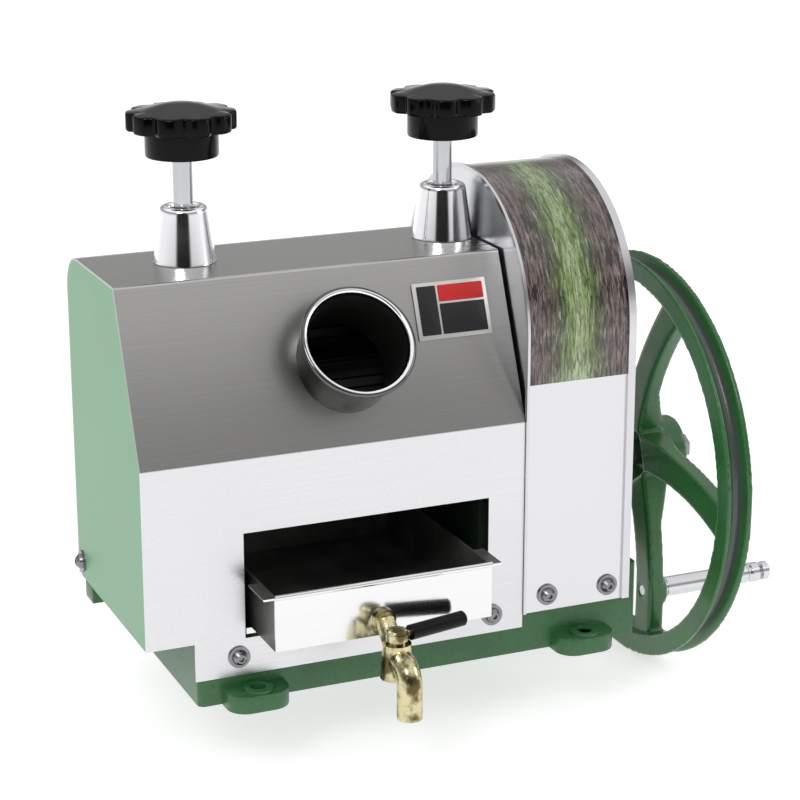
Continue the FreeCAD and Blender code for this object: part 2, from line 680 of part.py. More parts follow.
def make_main_cover():
    """Sheet folded over the rollers: front plate, slope, top and back in one piece."""
    body = new_body("cover_folded")
    sketch = new_sketch(body, "YZ_Plane", cover_left)
    cover_profile(sketch, cover_front, S.cover_back, S.cover_bottom)
    pad(body, sketch, S.cover_length)
    dress(body, "Fillet", at_back_corner, S.back_corner)
    dress(body, "Fillet", at_front_bends, S.bend_radius)
    solid = body.Tip
    open_faces = [f"Face{i + 1}" for i, face in enumerate(solid.Shape.Faces)
                  if abs(face.CenterOfMass.x - float(cover_left)) < 0.01 or
                  abs(face.CenterOfMass.x - float(cover_right)) < 0.01 or
                  abs(face.CenterOfMass.z - float(S.cover_bottom)) < 0.01]
    shell = body.newObject("PartDesign::Thickness", "cover_shell")
    shell.Base = (solid, open_faces)
    shell.Reversed = True
    bind(shell, "Value", S.sheet)
    doc.recompute()
    # Front window for the tray, and the corner left out beside the base.
    sketch = new_sketch(body, "XZ_Plane", -cover_front + 1)
    left, sill = window_left, S.window_sill
    outline(sketch, ((left, sill), (left + S.window_length, sill),
                     (left + S.window_length, sill + S.window_height),
                     (left, sill + S.window_height)))
    pocket(body, sketch, S.sheet + 2)
    sketch = new_sketch(body, "XZ_Plane", -cover_front + 1)
    outline(sketch, ((cover_left - 1, S.cover_bottom - 1), (base_left - 2, S.cover_bottom - 1),
                     (base_left - 2, S.notch_top), (cover_left - 1, S.notch_top)))
    pocket(body, sketch, S.cover_back - cover_front + 2)
    # The back stops above the base's rim and has the outlet for the pressed cane.
    sketch = new_sketch(body, "XZ_Plane", -S.cover_back + S.sheet + 1)
    outline(sketch, ((base_left - 3, S.cover_bottom - 1), (cover_right + 1, S.cover_bottom - 1),
                     (cover_right + 1, S.notch_top), (base_left - 3, S.notch_top)))
    pocket(body, sketch, S.sheet + 2)
    sketch = new_sketch(body, "XZ_Plane", -S.cover_back + S.sheet + 1)
    outline(sketch, ((inner_left + 8, outlet_low()), (inner_right - 8, outlet_low()),
                     (inner_right - 8, outlet_high()), (inner_left + 8, outlet_high())))
    pocket(body, sketch, S.sheet + 2)
    # Hole that the feed tube stands in, along the tube's own axis.
    tube = tube_axis()
    hole = doc.addObject("Part::Cylinder", "tube_hole")
    bind(hole, "Radius", S.tube_radius + 2 * SEAT_GAP)
    hole.Height = 80
    hole.Placement = tube.multiply(Placement(Vector(0, 0, -40), Rotation()))
    holes = [hole]
    for x in (wall_left_x, wall_right_x):
        holes.append(cylinder("screw_hole", S.screw_radius + 1, 20, x, S.top_axis_y, S.cover_height - 10))
    for x, z in front_bolt_places():
        holes.append(cylinder("front_bolt_hole", S.bolt_radius + 0.3, 10, x, cover_front + 5, z, TO_MINUS_Y))
    return node(cut("main_cover_cut", body, holes), "main_cover")


def outlet_low():
    return rear_axis_z - 6


def outlet_high():
    return S.top_axis_z + 18


def tube_axis():
    """Placement with its origin where the tube's axis meets the slope, its Z out along the tube.

    The tube points a little more upwards than square to the slope."""
    rise = float(S.cover_height - S.bend_height)
    run = float(S.slope_run)
    length = math.hypot(rise, run)
    up = float(S.tube_up) / length
    middle = Vector(float(tube_x), float(cover_front) + run * up, float(S.bend_height) + rise * up)
    lean = math.degrees(math.atan2(rise, run)) - float(S.tube_tilt)
    return Placement(middle, Rotation(Vector(1, 0, 0), lean))


def make_feed_tube():
    """Round feed tube that flares to a rolled bead at its mouth, welded into the slope."""
    outer, inner = float(S.tube_radius), float(S.tube_radius - S.tube_wall)
    low, high = -float(S.tube_in), float(S.tube_out)
    flare, bead = float(S.tube_flare), float(S.tube_bead)
    neck = high - 8
    corners = [Vector(inner, 0, neck), Vector(inner, 0, low), Vector(outer, 0, low), Vector(outer, 0, neck)]
    for degrees in range(-90, 181, 45):
        angle = math.radians(degrees)
        corners.append(Vector(outer + flare + bead * math.cos(angle), 0, high + bead * math.sin(angle)))
    shape = Part.Face(Part.makePolygon(corners + [corners[0]])).revolve(Vector(), Vector(0, 0, 1), 360)
    return node(feature("feed_tube_shape", shape, tube_axis()), "feed_tube")


def make_left_panel():
    """Closing panel at the gear end: a plate with a flange all round and a floor strip."""
    body = new_body("panel_folded")
    sketch = new_sketch(body, "YZ_Plane", cover_left)
    inset = S.sheet + 0.05
    outline(sketch, ((cover_front + inset, S.notch_top), (S.cover_back - inset, S.notch_top),
                     (S.cover_back - inset, S.cover_height - inset),
                     (base_front + S.slope_run + inset * 0.7, S.cover_height - inset),
                     (cover_front + inset, S.bend_height - 0.35)))
    pad(body, sketch, 14)
    dress(body, "Fillet", at_back_corner, S.back_corner - S.sheet)
    dress(body, "Fillet", at_front_bends, S.bend_radius)
    dress(body, "Fillet", lambda edge: runs(edge, X_WAY) and edge.CenterOfMass.y > 0 and
          edge.CenterOfMass.z < float(S.notch_top) + 1, 10)
    solid = body.Tip
    inner_face = [f"Face{i + 1}" for i, face in enumerate(solid.Shape.Faces)
                  if abs(face.CenterOfMass.x - float(cover_left) - 14) < 0.01]
    shell = body.newObject("PartDesign::Thickness", "panel_shell")
    shell.Base = (solid, inner_face)
    shell.Reversed = True
    shell.Value = 2
    doc.recompute()
    y, z = panel_bolt_place()
    hole = along_x("panel_bolt_hole", S.bolt_radius, cover_left - 1, cover_left + 5, y, z)
    floor = box("panel_floor", cover_left + 14, base_left, cover_front + inset, S.cover_back - inset - 12,
                S.notch_top, S.notch_top + S.sheet)
    return node(cut("left_panel_cut", fuse("left_panel_fused", (body, floor)), (hole,)), "left_side_panel")


def panel_bolt_place():
    return S.cover_back - 12, S.notch_top + 13


def rounded_back(name, x0, x1, grow, bottom):
    """Solid with a half-round top: the inside or outside form of the gear cover."""
    radius = S.gear_cover_radius - grow
    arc = along_x(name + "_arc", radius, x0, x1, S.gear_cover_y, S.gear_cover_z)
    legs = box(name + "_legs", x0, x1, S.gear_cover_y - radius, S.gear_cover_y + radius,
               bottom, S.gear_cover_z)
    return fuse(name, (arc, legs))


def make_gear_cover():
    """Wrapper over the gears, with a plate at each side and folded lips on both edges."""
    left, right, bottom = gear_cover_left, gear_cover_right, S.gear_cover_bottom
    outer = rounded_back("wrapper_outer", left, right, 0, bottom)
    inner = rounded_back("wrapper_inner", left - 1, right + 1, S.sheet, bottom - 1)
    tools = [inner]
    for x, z in gear_bolt_places():
        tools.append(cylinder("gear_bolt_hole", S.bolt_radius + 0.3, 10, x, cover_front + 5, z, TO_MINUS_Y))
    node(cut("wrapper", outer, tools), "gear_cover")
    for side, x0, x1 in (("left", left, left + S.sheet), ("right", right - S.sheet, right)):
        plate = rounded_back(f"side_{side}", x0, x1, S.sheet + SEAT_GAP, S.gear_bay_rim + 0.3)
        shaft_hole = along_x(f"side_{side}_shaft", S.shaft_radius + 6, x0 - 1, x1 + 1, shaft_y, shaft_z)
        tools = [shaft_hole]
        if side == "left":
            tools.append(along_x("side_left_roller", S.journal_radius + 4 + S.block_lift,
                                 x0 - 1, x1 + 1, S.top_axis_y, S.top_axis_z))
        node(cut(f"side_{side}_cut", plate, tools), f"gear_cover_plate_{side}")
    # Beaded trims that hug both edges of the wrapper.
    trims = []
    for side, x0, x1 in (("left", left - 2, left), ("right", right, right + S.gear_cover_lip)):
        big = rounded_back(f"trim_{side}_outer", x0, x1, -2, bottom)
        small = rounded_back(f"trim_{side}_inner", x0 - 1, x1 + 1, S.sheet - 0.1, bottom - 1)
        trims.append(cut(f"trim_{side}", big, (small,)))
    return node(together("gear_cover_trims", trims), "gear_cover_trim")


def make_chute():
    """Outlet chute for the pressed cane: a U of sheet that slopes down to the back."""
    body = new_body("outlet_chute")
    x0, x1 = inner_left + 6, inner_right - 6
    sketch = new_sketch(body, "YZ_Plane", x0)
    back = base_back + 12
    drop = 46
    outline(sketch, ((S.cover_back, outlet_low() - 3), (back, outlet_low() - drop),
                     (back, outlet_low() - drop + 26), (S.cover_back, outlet_high() - 6)))
    pad(body, sketch, x1 - x0)
    sketch = new_sketch(body, "YZ_Plane", x0 + S.sheet)
    outline(sketch, ((S.cover_back - 1, outlet_low() - 1), (back + 1, outlet_low() - drop + 1.4),
                     (back + 1, outlet_high() + 20), (S.cover_back - 1, outlet_high() + 20)))
    pocket(body, sketch, x1 - x0 - 2 * S.sheet, reverse=True)
    return node(body, "outlet_chute")


# ---------------------------------------------------------------- scrapers and turn plate

def make_scrapers():
    """Turn plate between the lower rollers and the blades that clear them."""
    x0, x1 = inner_left, inner_right
    middle_y = (front_axis_y + rear_axis_y) / 2
    clear = 1.0
    blank = box("turn_plate_blank", x0, x1, front_axis_y, rear_axis_y,
                rear_axis_z - 6, S.top_axis_z - S.roller_radius - 3)
    rollers = [along_x(f"turn_clear_{i}", S.roller_radius + clear, x0 - 1, x1 + 1, y, z)
               for i, (y, z) in enumerate(((front_axis_y, front_axis_z), (rear_axis_y, rear_axis_z),
                                           (S.top_axis_y, S.top_axis_z)))]
    trim_front = box("turn_trim_front", x0 - 1, x1 + 1, front_axis_y - 40, middle_y - 13,
                     rear_axis_z - 40, S.top_axis_z)
    trim_rear = box("turn_trim_rear", x0 - 1, x1 + 1, middle_y + 13, rear_axis_y + 40,
                    rear_axis_z - 40, S.top_axis_z)
    node(cut("turn_plate_cut", blank, rollers + [trim_front, trim_rear]), "turn_plate")


def make_blades():
    """Two scraper blades that clear the underside of the lower rollers, on the frame walls."""
    blades = []
    for name, y, z, way in (("front", front_axis_y, front_axis_z, -1),
                            ("rear", rear_axis_y, rear_axis_z, 1)):
        body = new_body(f"blade_{name}")
        sketch = new_sketch(body, "YZ_Plane", inner_left)
        low = z - S.roller_radius - S.scraper_gap
        outline(sketch, ((y, low), (y + way * 16, low - 7), (y + way * 16, low - 10), (y, low - 3)))
        pad(body, sketch, inner_right - inner_left)
        blades.append(body)
    return node(together("blade_set", blades), "roller_scrapers")


def make_tie_rods():
    """Rods with nuts that hold the two frame walls apart below the rollers."""
    rods = []
    for number, y in enumerate((S.wall_front + 24, S.wall_back - 22)):
        z = S.tie_rod_height
        rod = along_x(f"tie_rod_{number}_bar", S.tie_rod_radius, inner_left, inner_right, y, z)
        ends = [rod]
        for side, x in (("left", outer_left - 6), ("right", outer_right)):
            nut = doc.addObject("Part::Prism", f"tie_nut_{number}_{side}")
            nut.Polygon = 6
            nut.Circumradius = 10
            nut.Height = 6
            place(nut, x, y, z, TO_X)
            ends.append(nut)
        stud = along_x(f"tie_rod_{number}_stud", S.tie_rod_radius - 2, outer_left - 8, outer_right + 8, y, z)
        rods.append(fuse(f"tie_rod_{number}", ends + [stud]))
    return node(together("tie_rod_set", rods), "tie_rods")


# ---------------------------------------------------------------- adjusting screws

def star_knob(name, x):
    """Lobed knob: a revolved body with a domed top, scalloped round its edge."""
    radius, hub = float(S.knob_radius), float(S.knob_hub_radius)
    z0 = float(knob_height)
    z1 = z0 + float(S.knob_hub_height)
    z2 = z1 + float(S.knob_disc_height)
    top = z2 + float(S.knob_dome)
    profile = [Vector(0, 0, z0), Vector(hub - 3, 0, z0), Vector(hub, 0, z0 + 3), Vector(hub, 0, z1 - 1),
               Vector(radius - 4, 0, z1), Vector(radius, 0, z1 + 4), Vector(radius, 0, z2 - 5),
               Vector(radius - 5, 0, z2), Vector(15, 0, z2 + 1), Vector(13.5, 0, top - 4),
               Vector(10, 0, top - 1), Vector(5, 0, top), Vector(0, 0, top)]
    shape = Part.Face(Part.makePolygon(profile + [profile[0]])).revolve(Vector(), Vector(0, 0, 1), 360)
    lobes = 8
    for i in range(lobes):
        scallop = Part.makeCylinder(radius * 0.23, z2 - z1 + 12, Vector(radius * 1.08, 0, z1 - 1))
        scallop.rotate(Vector(), Vector(0, 0, 1), 360 / lobes * (i + 0.5))
        shape = shape.cut(scallop)
    socket = Part.makeCylinder(float(S.screw_radius + S.running_gap), 22.3, Vector(0, 0, z0))
    shape = shape.cut(socket)
    return node(feature(name + "_shape", shape, Placement(Vector(float(x), float(S.top_axis_y), 0),
                                                         Rotation())), name)


def screw_bottom():
    return block_top + S.spring_room + S.pad_height


def make_screws():
    pads, cups = [], []
    for side, x in (("left", wall_left_x), ("right", wall_right_x)):
        rod = cylinder(f"screw_{side}", S.screw_radius, knob_height + 22 - screw_bottom(),
                       x, S.top_axis_y, screw_bottom())
        node(rod, f"adjusting_screw_{side}")
        star_knob(f"star_knob_{side}", x)
        pads.append(box(f"pad_{side}", x - S.wall_thickness / 2, x + S.wall_thickness / 2,
                        S.top_axis_y - S.block_width / 2, S.top_axis_y + S.block_width / 2,
                        screw_bottom() - S.pad_height, screw_bottom()))
        cup = cone(f"cup_{side}_outer", S.cup_radius, S.cup_top_radius, S.cup_height,
                   x, S.top_axis_y, S.cover_height)
        bore = cylinder(f"cup_{side}_bore", S.screw_radius + 0.6, S.cup_height + 2,
                        x, S.top_axis_y, S.cover_height - 1)
        foot = cylinder(f"cup_{side}_foot", S.cup_radius + 1, 1.5, x, S.top_axis_y, S.cover_height)
        # The right cup is trimmed flat where it stands beside the gear cover.
        flat = box(f"cup_{side}_flat", x + (cover_right - wall_right_x), x + 60,
                   S.top_axis_y - 60, S.top_axis_y + 60, S.cover_height - 1, knob_height)
        tools = (bore, flat) if side == "right" else (bore,)
        cups.append(cut(f"cup_{side}", fuse(f"cup_{side}_body", (cup, foot)), tools))
    node(together("pad_set", pads), "thrust_pads")
    node(together("cup_set", cups), "screw_cups")
    return node(together("spring_set", [spring(x) for x in (wall_left_x, wall_right_x)]), "block_springs")


def spring(x):
    """Stack of coned disc springs between the bearing block and the thrust pad."""
    discs = 4
    low, high = float(block_top) + 0.2, float(screw_bottom() - S.pad_height) - 0.2
    step = (high - low) / discs
    inner, outer = float(S.screw_radius) - 3, float(S.wall_thickness) / 2 - 0.7
    thick = step * 0.55
    left, right = [], []
    for disc in range(discs):
        base, top = low + disc * step, low + (disc + 1) * step
        up = disc % 2 == 0
        left += [Vector(inner, 0, base + (step - thick if up else 0.0)),
                 Vector(inner, 0, top if up else base + thick)]
        right += [Vector(outer, 0, base), Vector(outer, 0, base + thick)] if up else \
            [Vector(outer, 0, top - thick), Vector(outer, 0, top)]
    corners = [left[0]] + right + left[:0:-1]
    shape = Part.Face(Part.makePolygon(corners + [corners[0]])).revolve(Vector(), Vector(0, 0, 1), 360)
    return feature("spring_shape", shape,
                   Placement(Vector(float(x), float(S.top_axis_y), 0), Rotation()))


# ---------------------------------------------------------------- handwheel

def spoke_outline(tip_angle, sweep, root_radius, tip_radius, root_width, tip_width):
    """Curved spoke in the YZ plane: both sides are arcs through three points."""
    def side(sign):
        points = []
        for share, width in ((0.0, root_width), (0.5, (root_width + tip_width) * 0.43),
                             (1.0, tip_width)):
            radius = root_radius + (tip_radius - root_radius) * share
            angle = math.radians(tip_angle + sweep * (1 - share) ** 1.5)
            across = sign * width / 2
            y = -math.cos(angle) * radius + math.sin(angle) * across
            z = math.sin(angle) * radius + math.cos(angle) * across
            points.append(Vector(0, y, z))
        return points

    upper, lower = side(1), side(-1)
    edges = [Part.Arc(*upper).toShape(), Part.LineSegment(upper[2], lower[2]).toShape(),
             Part.Arc(lower[2], lower[1], lower[0]).toShape(),
             Part.LineSegment(lower[0], upper[0]).toShape()]
    return Part.Face(Part.Wire(edges))


SPOKE_COUNT = 5
SPOKE_TIP = -79
SPOKE_SWEEP = 24


def make_handwheel():
    """Cast wheel whose rim is a V-belt pulley, with five curved spokes and a keyed hub."""
    radius, width, depth = float(S.wheel_radius), float(S.wheel_width), float(S.rim_depth)
    profile = [Vector(0, radius - depth, 0), Vector(0, radius, 0), Vector(3, radius, 0),
               Vector(width / 2 - 3, radius - depth * 0.62, 0),
               Vector(width / 2 + 3, radius - depth * 0.62, 0),
               Vector(width - 3, radius, 0), Vector(width, radius, 0), Vector(width, radius - depth, 0)]
    rim = Part.Face(Part.makePolygon(profile + [profile[0]])).revolve(Vector(), Vector(1, 0, 0), 360)
    rim.translate(Vector(float(wheel_left), 0, 0))
    hub_x = float(hub_left)
    hub = Part.makeCylinder(float(S.hub_radius), float(S.hub_length), Vector(hub_x, 0, 0), Vector(1, 0, 0))
    wheel = rim.fuse(hub)
    web_x = float(wheel_left) + 5
    web = 13.0
    flat = spoke_outline(SPOKE_TIP, SPOKE_SWEEP, float(S.hub_radius) - 7, radius - depth + 4, 30, 27)
    blade = flat.extrude(Vector(web, 0, 0))
    blade.translate(Vector(web_x, 0, 0))
    root = flat.extrude(Vector(hub_x + 12 - web_x, 0, 0))
    root.translate(Vector(web_x, 0, 0))
    near_hub = Part.makeCone(float(S.hub_radius) + 34, float(S.hub_radius) + 4, hub_x + 12 - web_x - web,
                             Vector(web_x + web, 0, 0), Vector(1, 0, 0))
    near_hub = near_hub.fuse(Part.makeCylinder(float(S.hub_radius) + 34, web, Vector(web_x, 0, 0),
                                               Vector(1, 0, 0)))
    spoke = blade.fuse(root.common(near_hub))
    boss = Part.makeCylinder(float(S.handle_radius) + 6, 5, Vector(web_x + web - 1, *handle_offset()),
                             Vector(1, 0, 0))
    for i in range(SPOKE_COUNT):
        copy = spoke.copy()
        copy.rotate(Vector(), Vector(1, 0, 0), 360 / SPOKE_COUNT * i)
        wheel = wheel.fuse(copy)
    wheel = wheel.fuse(boss)
    bore = Part.makeCylinder(float(S.shaft_radius) + 0.02, 90, Vector(hub_x - 30, 0, 0), Vector(1, 0, 0))
    keyway = Part.makeBox(90, 6.1, 5.6, Vector(hub_x - 30, -3.05, float(S.shaft_radius) - 2.6))
    stud = Part.makeCylinder(float(S.handle_radius) / 2, 40, Vector(web_x - 5, *handle_offset()),
                             Vector(1, 0, 0))
    wheel = wheel.cut(bore).cut(keyway).cut(stud).removeSplitter()
    return node(feature("handwheel_shape", wheel, Placement(Vector(0, float(shaft_y), float(shaft_z)),
                                                           Rotation())), "handwheel")


def handle_offset():
    """Place of the crank handle's axis from the wheel's axis, on the middle of one spoke."""
    share = (float(S.handle_circle) - float(S.hub_radius) + 7) / (
        float(S.wheel_radius - S.rim_depth) + 4 - float(S.hub_radius) + 7)
    angle = math.radians(SPOKE_TIP + SPOKE_SWEEP * (1 - share) ** 1.5)
    return -math.cos(angle) * float(S.handle_circle), math.sin(angle) * float(S.handle_circle)


def make_wheel_fittings():
    end = hub_left + S.hub_length
    key = box("key_bar", hub_left + 3, end, shaft_y - 3, shaft_y + 3,
              shaft_z + S.shaft_radius - 3, shaft_z + S.shaft_radius + 2.8)
    node(key, "wheel_key")
    washer = along_x("wheel_washer_disc", S.shaft_radius + 5, end + 2, end + 4.5, shaft_y, shaft_z)
    head = doc.addObject("Part::Prism", "wheel_bolt_head")
    head.Polygon = 6
    head.Circumradius = 9.8
    head.Height = 8
    place(head, end + 4.5, shaft_y, shaft_z, TO_X)
    node(fuse("wheel_bolt_fused", (washer, head)), "wheel_bolt")


def make_handle():
    y, z = handle_offset()
    y, z = y + float(shaft_y), z + float(shaft_z)
    x0 = float(wheel_left) + 5 + 13 + 4
    length, radius = float(S.handle_length), float(S.handle_radius)
    core = radius / 2
    stud = Part.makeCylinder(core, length + 18, Vector(x0 - 16, y, z), Vector(1, 0, 0))
    collar = Part.makeCylinder(radius + 1, 2, Vector(x0 + 0.3, y, z), Vector(1, 0, 0))
    cap = Part.makeCylinder(radius - 0.5, 7, Vector(x0 + length + 0.3, y, z), Vector(1, 0, 0))
    cap = cap.makeChamfer(1.5, [edge for edge in cap.Edges if edge.CenterOfMass.x > x0 + length + 6])
    node(feature("handle_spindle_shape", stud.fuse(collar).fuse(cap)), "handle_spindle")
    sleeve = Part.makeCylinder(radius, length - 2.9, Vector(x0 + 2.6, y, z), Vector(1, 0, 0))
    groove = Part.makeCylinder(radius + 1, 2.4, Vector(x0 + length - 10, y, z), Vector(1, 0, 0))
    groove = groove.cut(Part.makeCylinder(radius - 1.2, 2.4, Vector(x0 + length - 10, y, z),
                                          Vector(1, 0, 0)))
    bore = Part.makeCylinder(core + 0.08, length + 10, Vector(x0 - 5, y, z), Vector(1, 0, 0))
    node(feature("handle_sleeve_shape", sleeve.cut(groove).cut(bore)), "handle_sleeve")


# ---------------------------------------------------------------- juice tray and tap

def tray_bottom():
    return S.base_rim + 1.6


def make_tray():
    """Sliding juice tray: a folded pan with a rolled front edge and two ears in front."""
    body = new_body("tray_pan")
    x0, x1 = tray_left, tray_left + S.tray_length
    y0, y1, z0 = S.tray_front, S.tray_back, tray_bottom()
    sketch = new_sketch(body, "XY_Plane", z0)
    outline(sketch, ((x0, y0), (x1, y0), (x1, y1), (x0, y1)))
    pad(body, sketch, S.tray_height)
    sketch = new_sketch(body, "XY_Plane", z0 + S.tray_height + 1)
    wall = S.sheet
    outline(sketch, ((x0 + wall, y0 + wall), (x1 - wall, y0 + wall),
                     (x1 - wall, y1 - wall), (x0 + wall, y1 - wall)))
    pocket(body, sketch, S.tray_height + 1 - wall)
    top = z0 + S.tray_height
    ears = []
    for side, low, high in (("left", x0 - S.tray_ear, x0), ("right", x1, x1 + S.tray_ear)):
        ears.append(box(f"ear_{side}", low, high, y0, cover_front - 2, top - S.sheet, top))
    roll = cylinder("tray_roll", 2, S.tray_length, x0, y0, top, TO_X)
    hole = cylinder("tray_tap_hole", 7, 20, tap_x, y0 + 10, tap_z(), TO_MINUS_Y)
    return node(cut("juice_tray_cut", fuse("juice_tray_fused", [body, roll] + ears), (hole,)), "juice_tray")


def tap_z():
    return tray_bottom() + 11.5


# The tap's lever stands a little back from straight sideways.
LEVER_TURN = 12


def make_rails():
    """Ledges on the inner faces of both side plates that carry the tray."""
    z1 = tray_bottom() - 0.3
    rails = []
    for side, x0, x1 in (("left", inner_left, inner_left + 22), ("right", inner_right - 34, inner_right)):
        ledge = box(f"rail_{side}_ledge", x0, x1, S.wall_front + 4, S.wall_back - 2, z1 - 2, z1)
        wing_x = x0 if side == "left" else x1 - 2
        wing = box(f"rail_{side}_wing", wing_x, wing_x + 2, S.wall_front + 4, S.wall_back - 2, z1 - 12, z1)
        rails.append(fuse(f"rail_{side}", (ledge, wing)))
    return node(together("rail_set", rails), "tray_rails")


def spout_form(radius, x, y, z, drop):
    """Round bar that leaves the tap forwards, bends down through a quarter turn and drops."""
    ahead, bend = 9, 13
    level = Part.makeCylinder(radius, ahead, Vector(x, y, z), Vector(0, -1, 0))
    start = Part.Face(Part.Wire(Part.makeCircle(radius, Vector(x, y - ahead, z), Vector(0, -1, 0))))
    elbow = start.revolve(Vector(x, y - ahead, z - bend), Vector(1, 0, 0), 90)
    down = Part.makeCylinder(radius, drop - bend, Vector(x, y - ahead - bend, z - bend), Vector(0, 0, -1))
    return level.fuse([elbow, down])


def make_tap():
    """Brass plug tap: threaded tail, sloping neck, curved spout, turning plug and sleeved lever."""
    x, z = float(tap_x), float(tap_z())
    front = float(S.tray_front)
    plug_y = front - 24
    low, high, middle = z - 34, z - 8.5, z - 20
    tail = Part.makeCylinder(6.9, 12, Vector(x, front + 8, z), Vector(0, -1, 0))
    flange = Part.makeCylinder(8.5, 3, Vector(x, front, z), Vector(0, -1, 0))
    slope = Vector(0, plug_y - front + 3, middle - z)
    neck = Part.makeCylinder(7, slope.Length, Vector(x, front - 3, z), slope)
    neck = neck.cut(Part.makeBox(40, 20, 60, Vector(x - 20, front - 2.9, z - 40)))
    seat = Part.makeCylinder(9.5, 20, Vector(x, plug_y, high + 1), Vector(0, 0, 1))
    barrel = Part.makeCone(12, 10, high - low, Vector(x, plug_y, low), Vector(0, 0, 1))
    drop = float(S.tap_drop) - (z - middle)
    spout = spout_form(9, x, plug_y, middle, drop)
    spout_bore = spout_form(6, x, plug_y, middle, drop)
    plug_bore = Part.makeCone(7.5, 6.5, high - low + 4, Vector(x, plug_y, low - 2), Vector(0, 0, 1))
    inlet = Part.makeCylinder(4.5, 12, Vector(x, front + 9, z), Vector(0, -1, 0))
    waterway = Part.makeCylinder(4.5, slope.Length + 1, Vector(x, front - 3, z), slope)
    body = tail.fuse([flange, neck, barrel, spout]).cut([seat, spout_bore, plug_bore, inlet, waterway])
    node(feature("tap_body_shape", body), "tap_body")
    plug = Part.makeCone(7.35, 6.35, high - low + 4, Vector(x, plug_y, low - 2), Vector(0, 0, 1))
    plug = plug.fuse(Part.makeCylinder(5, 6, Vector(x, plug_y, high + 2), Vector(0, 0, 1)))
    plug = plug.cut(Part.makeCylinder(4, 20, Vector(x, plug_y + 10, middle), Vector(0, -1, 0)))
    node(feature("tap_plug_shape", plug), "tap_plug")
    on_plug = Placement(Vector(x, plug_y, high + 2.5), Rotation(Vector(0, 0, 1), LEVER_TURN))
    eye = Part.makeCylinder(8, 5)
    rod = Part.makeCylinder(2.6, 50, Vector(6, 0, 2.5), Vector(1, 0, 0))
    lever = eye.fuse(rod).cut(Part.makeCylinder(5, 12, Vector(0, 0, -2)))
    node(feature("tap_lever_shape", lever, on_plug), "tap_lever")
    grip = Part.makeCylinder(5.5, 47, Vector(11, 0, 2.5), Vector(1, 0, 0))
    grip = grip.makeChamfer(1.5, [edge for edge in grip.Edges if edge.CenterOfMass.x > 57])
    node(feature("tap_grip_shape", grip.cut(rod), on_plug), "tap_grip")
    nut = doc.addObject("Part::Prism", "tap_nut_prism")
    nut.Polygon = 6
    nut.Circumradius = 9
    nut.Height = 5
    place(nut, tap_x, S.tray_front + S.sheet + 5, tap_z(), TO_MINUS_Y)
    hole = cylinder("tap_nut_bore", 6.9, 12, tap_x, S.tray_front + S.sheet + 9, tap_z(), TO_MINUS_Y)
    node(cut("tap_nut_cut", nut, (hole,)), "tap_nut")


# ---------------------------------------------------------------- fasteners

def front_bolt_places():
    z = S.cover_bottom + 14
    return ((base_left + 30, z), (cover_right - 25, z))


def gear_bolt_places():
    z = S.gear_cover_bottom + 12.5
    return ((gear_cover_left + 18, z), (gear_cover_right - 12, z))


def dome_bolt(name, length, placement):
    """Button-head bolt with its washer; the face of the sheet is at z = 0, head towards +Z."""
    washer = Part.makeCylinder(float(S.washer_radius), float(S.washer_height))
    head_radius, head = float(S.washer_radius) * 0.72, float(S.bolt_head_height)
    base = float(S.washer_height)
    corners = [Vector(0, 0, base), Vector(head_radius, 0, base),
               Vector(head_radius * 0.88, 0, base + head * 0.5),
               Vector(head_radius * 0.55, 0, base + head), Vector(0, 0, base + head)]
    dome = Part.Face(Part.makePolygon(corners + [corners[0]])).revolve(Vector(), Vector(0, 0, 1), 360)
    socket = Part.makeCylinder(2, 3, Vector(0, 0, base + head - 1.6))
    shank = Part.makeCylinder(float(S.bolt_radius), length, Vector(0, 0, -length))
    shape = washer.fuse(dome).fuse(shank).cut(socket)
    return feature(name, shape, placement)


def make_bolts():
    facing_front = Rotation(Vector(1, 0, 0), 90)
    front = [dome_bolt("front_bolt", 1.5,
                       Placement(Vector(float(x), float(cover_front), float(z)), facing_front))
             for x, z in front_bolt_places()]
    node(together("front_bolt_set", front), "front_bolts")
    gears = [dome_bolt("gear_bolt", 1.5,
                       Placement(Vector(float(x), float(cover_front), float(z)), facing_front))
             for x, z in gear_bolt_places()]
    node(together("gear_bolt_set", gears), "gear_cover_bolts")
    y, z = panel_bolt_place()
    side = dome_bolt("panel_bolt_shape", 2, Placement(Vector(float(cover_left), float(y), float(z)),
                                                      Rotation(Vector(0, 1, 0), -90)))
    node(side, "side_panel_bolt")


make_base()
make_wall("wall_left", outer_left)
make_wall("wall_right", inner_right)
make_feet()
make_bridges()
make_bushes()
make_blocks()
make_rollers()
make_gears()
make_shaft_bearings()
make_main_cover()
make_feed_tube()
make_left_panel()
make_gear_cover()
make_chute()
make_scrapers()
make_blades()
make_tie_rods()
make_screws()
make_handwheel()
make_wheel_fittings()
make_handle()
make_tray()
make_rails()
make_tap()
make_bolts()
doc.recompute()

for thing in doc.Objects:
    if "Invalid" in thing.State or "Error" in thing.State:
        raise RuntimeError(f"{thing.Name} did not compute")
for thing in nodes:
    if thing.Shape.isNull() or not thing.Shape.isValid() or not thing.Shape.Solids:
        raise RuntimeError(f"{thing.Label} has no valid solid")

os.makedirs("parts", exist_ok=True)
for thing in nodes:
    thing.Shape.exportStep(f"parts/{thing.Label}.step")
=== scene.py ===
# %% [markdown]
# # A hand-cranked sugarcane juicer
# The machine's sizes come from a CAD frame: every casting, sheet, roller and screw is already
# in its place, in metres. This script gives each of them its finish, adds the small pieces that
# an eye looks for, and lights the whole as in a studio.

# %% Load the frame
import math
import bmesh
import bpy
from mathutils import Matrix, Vector


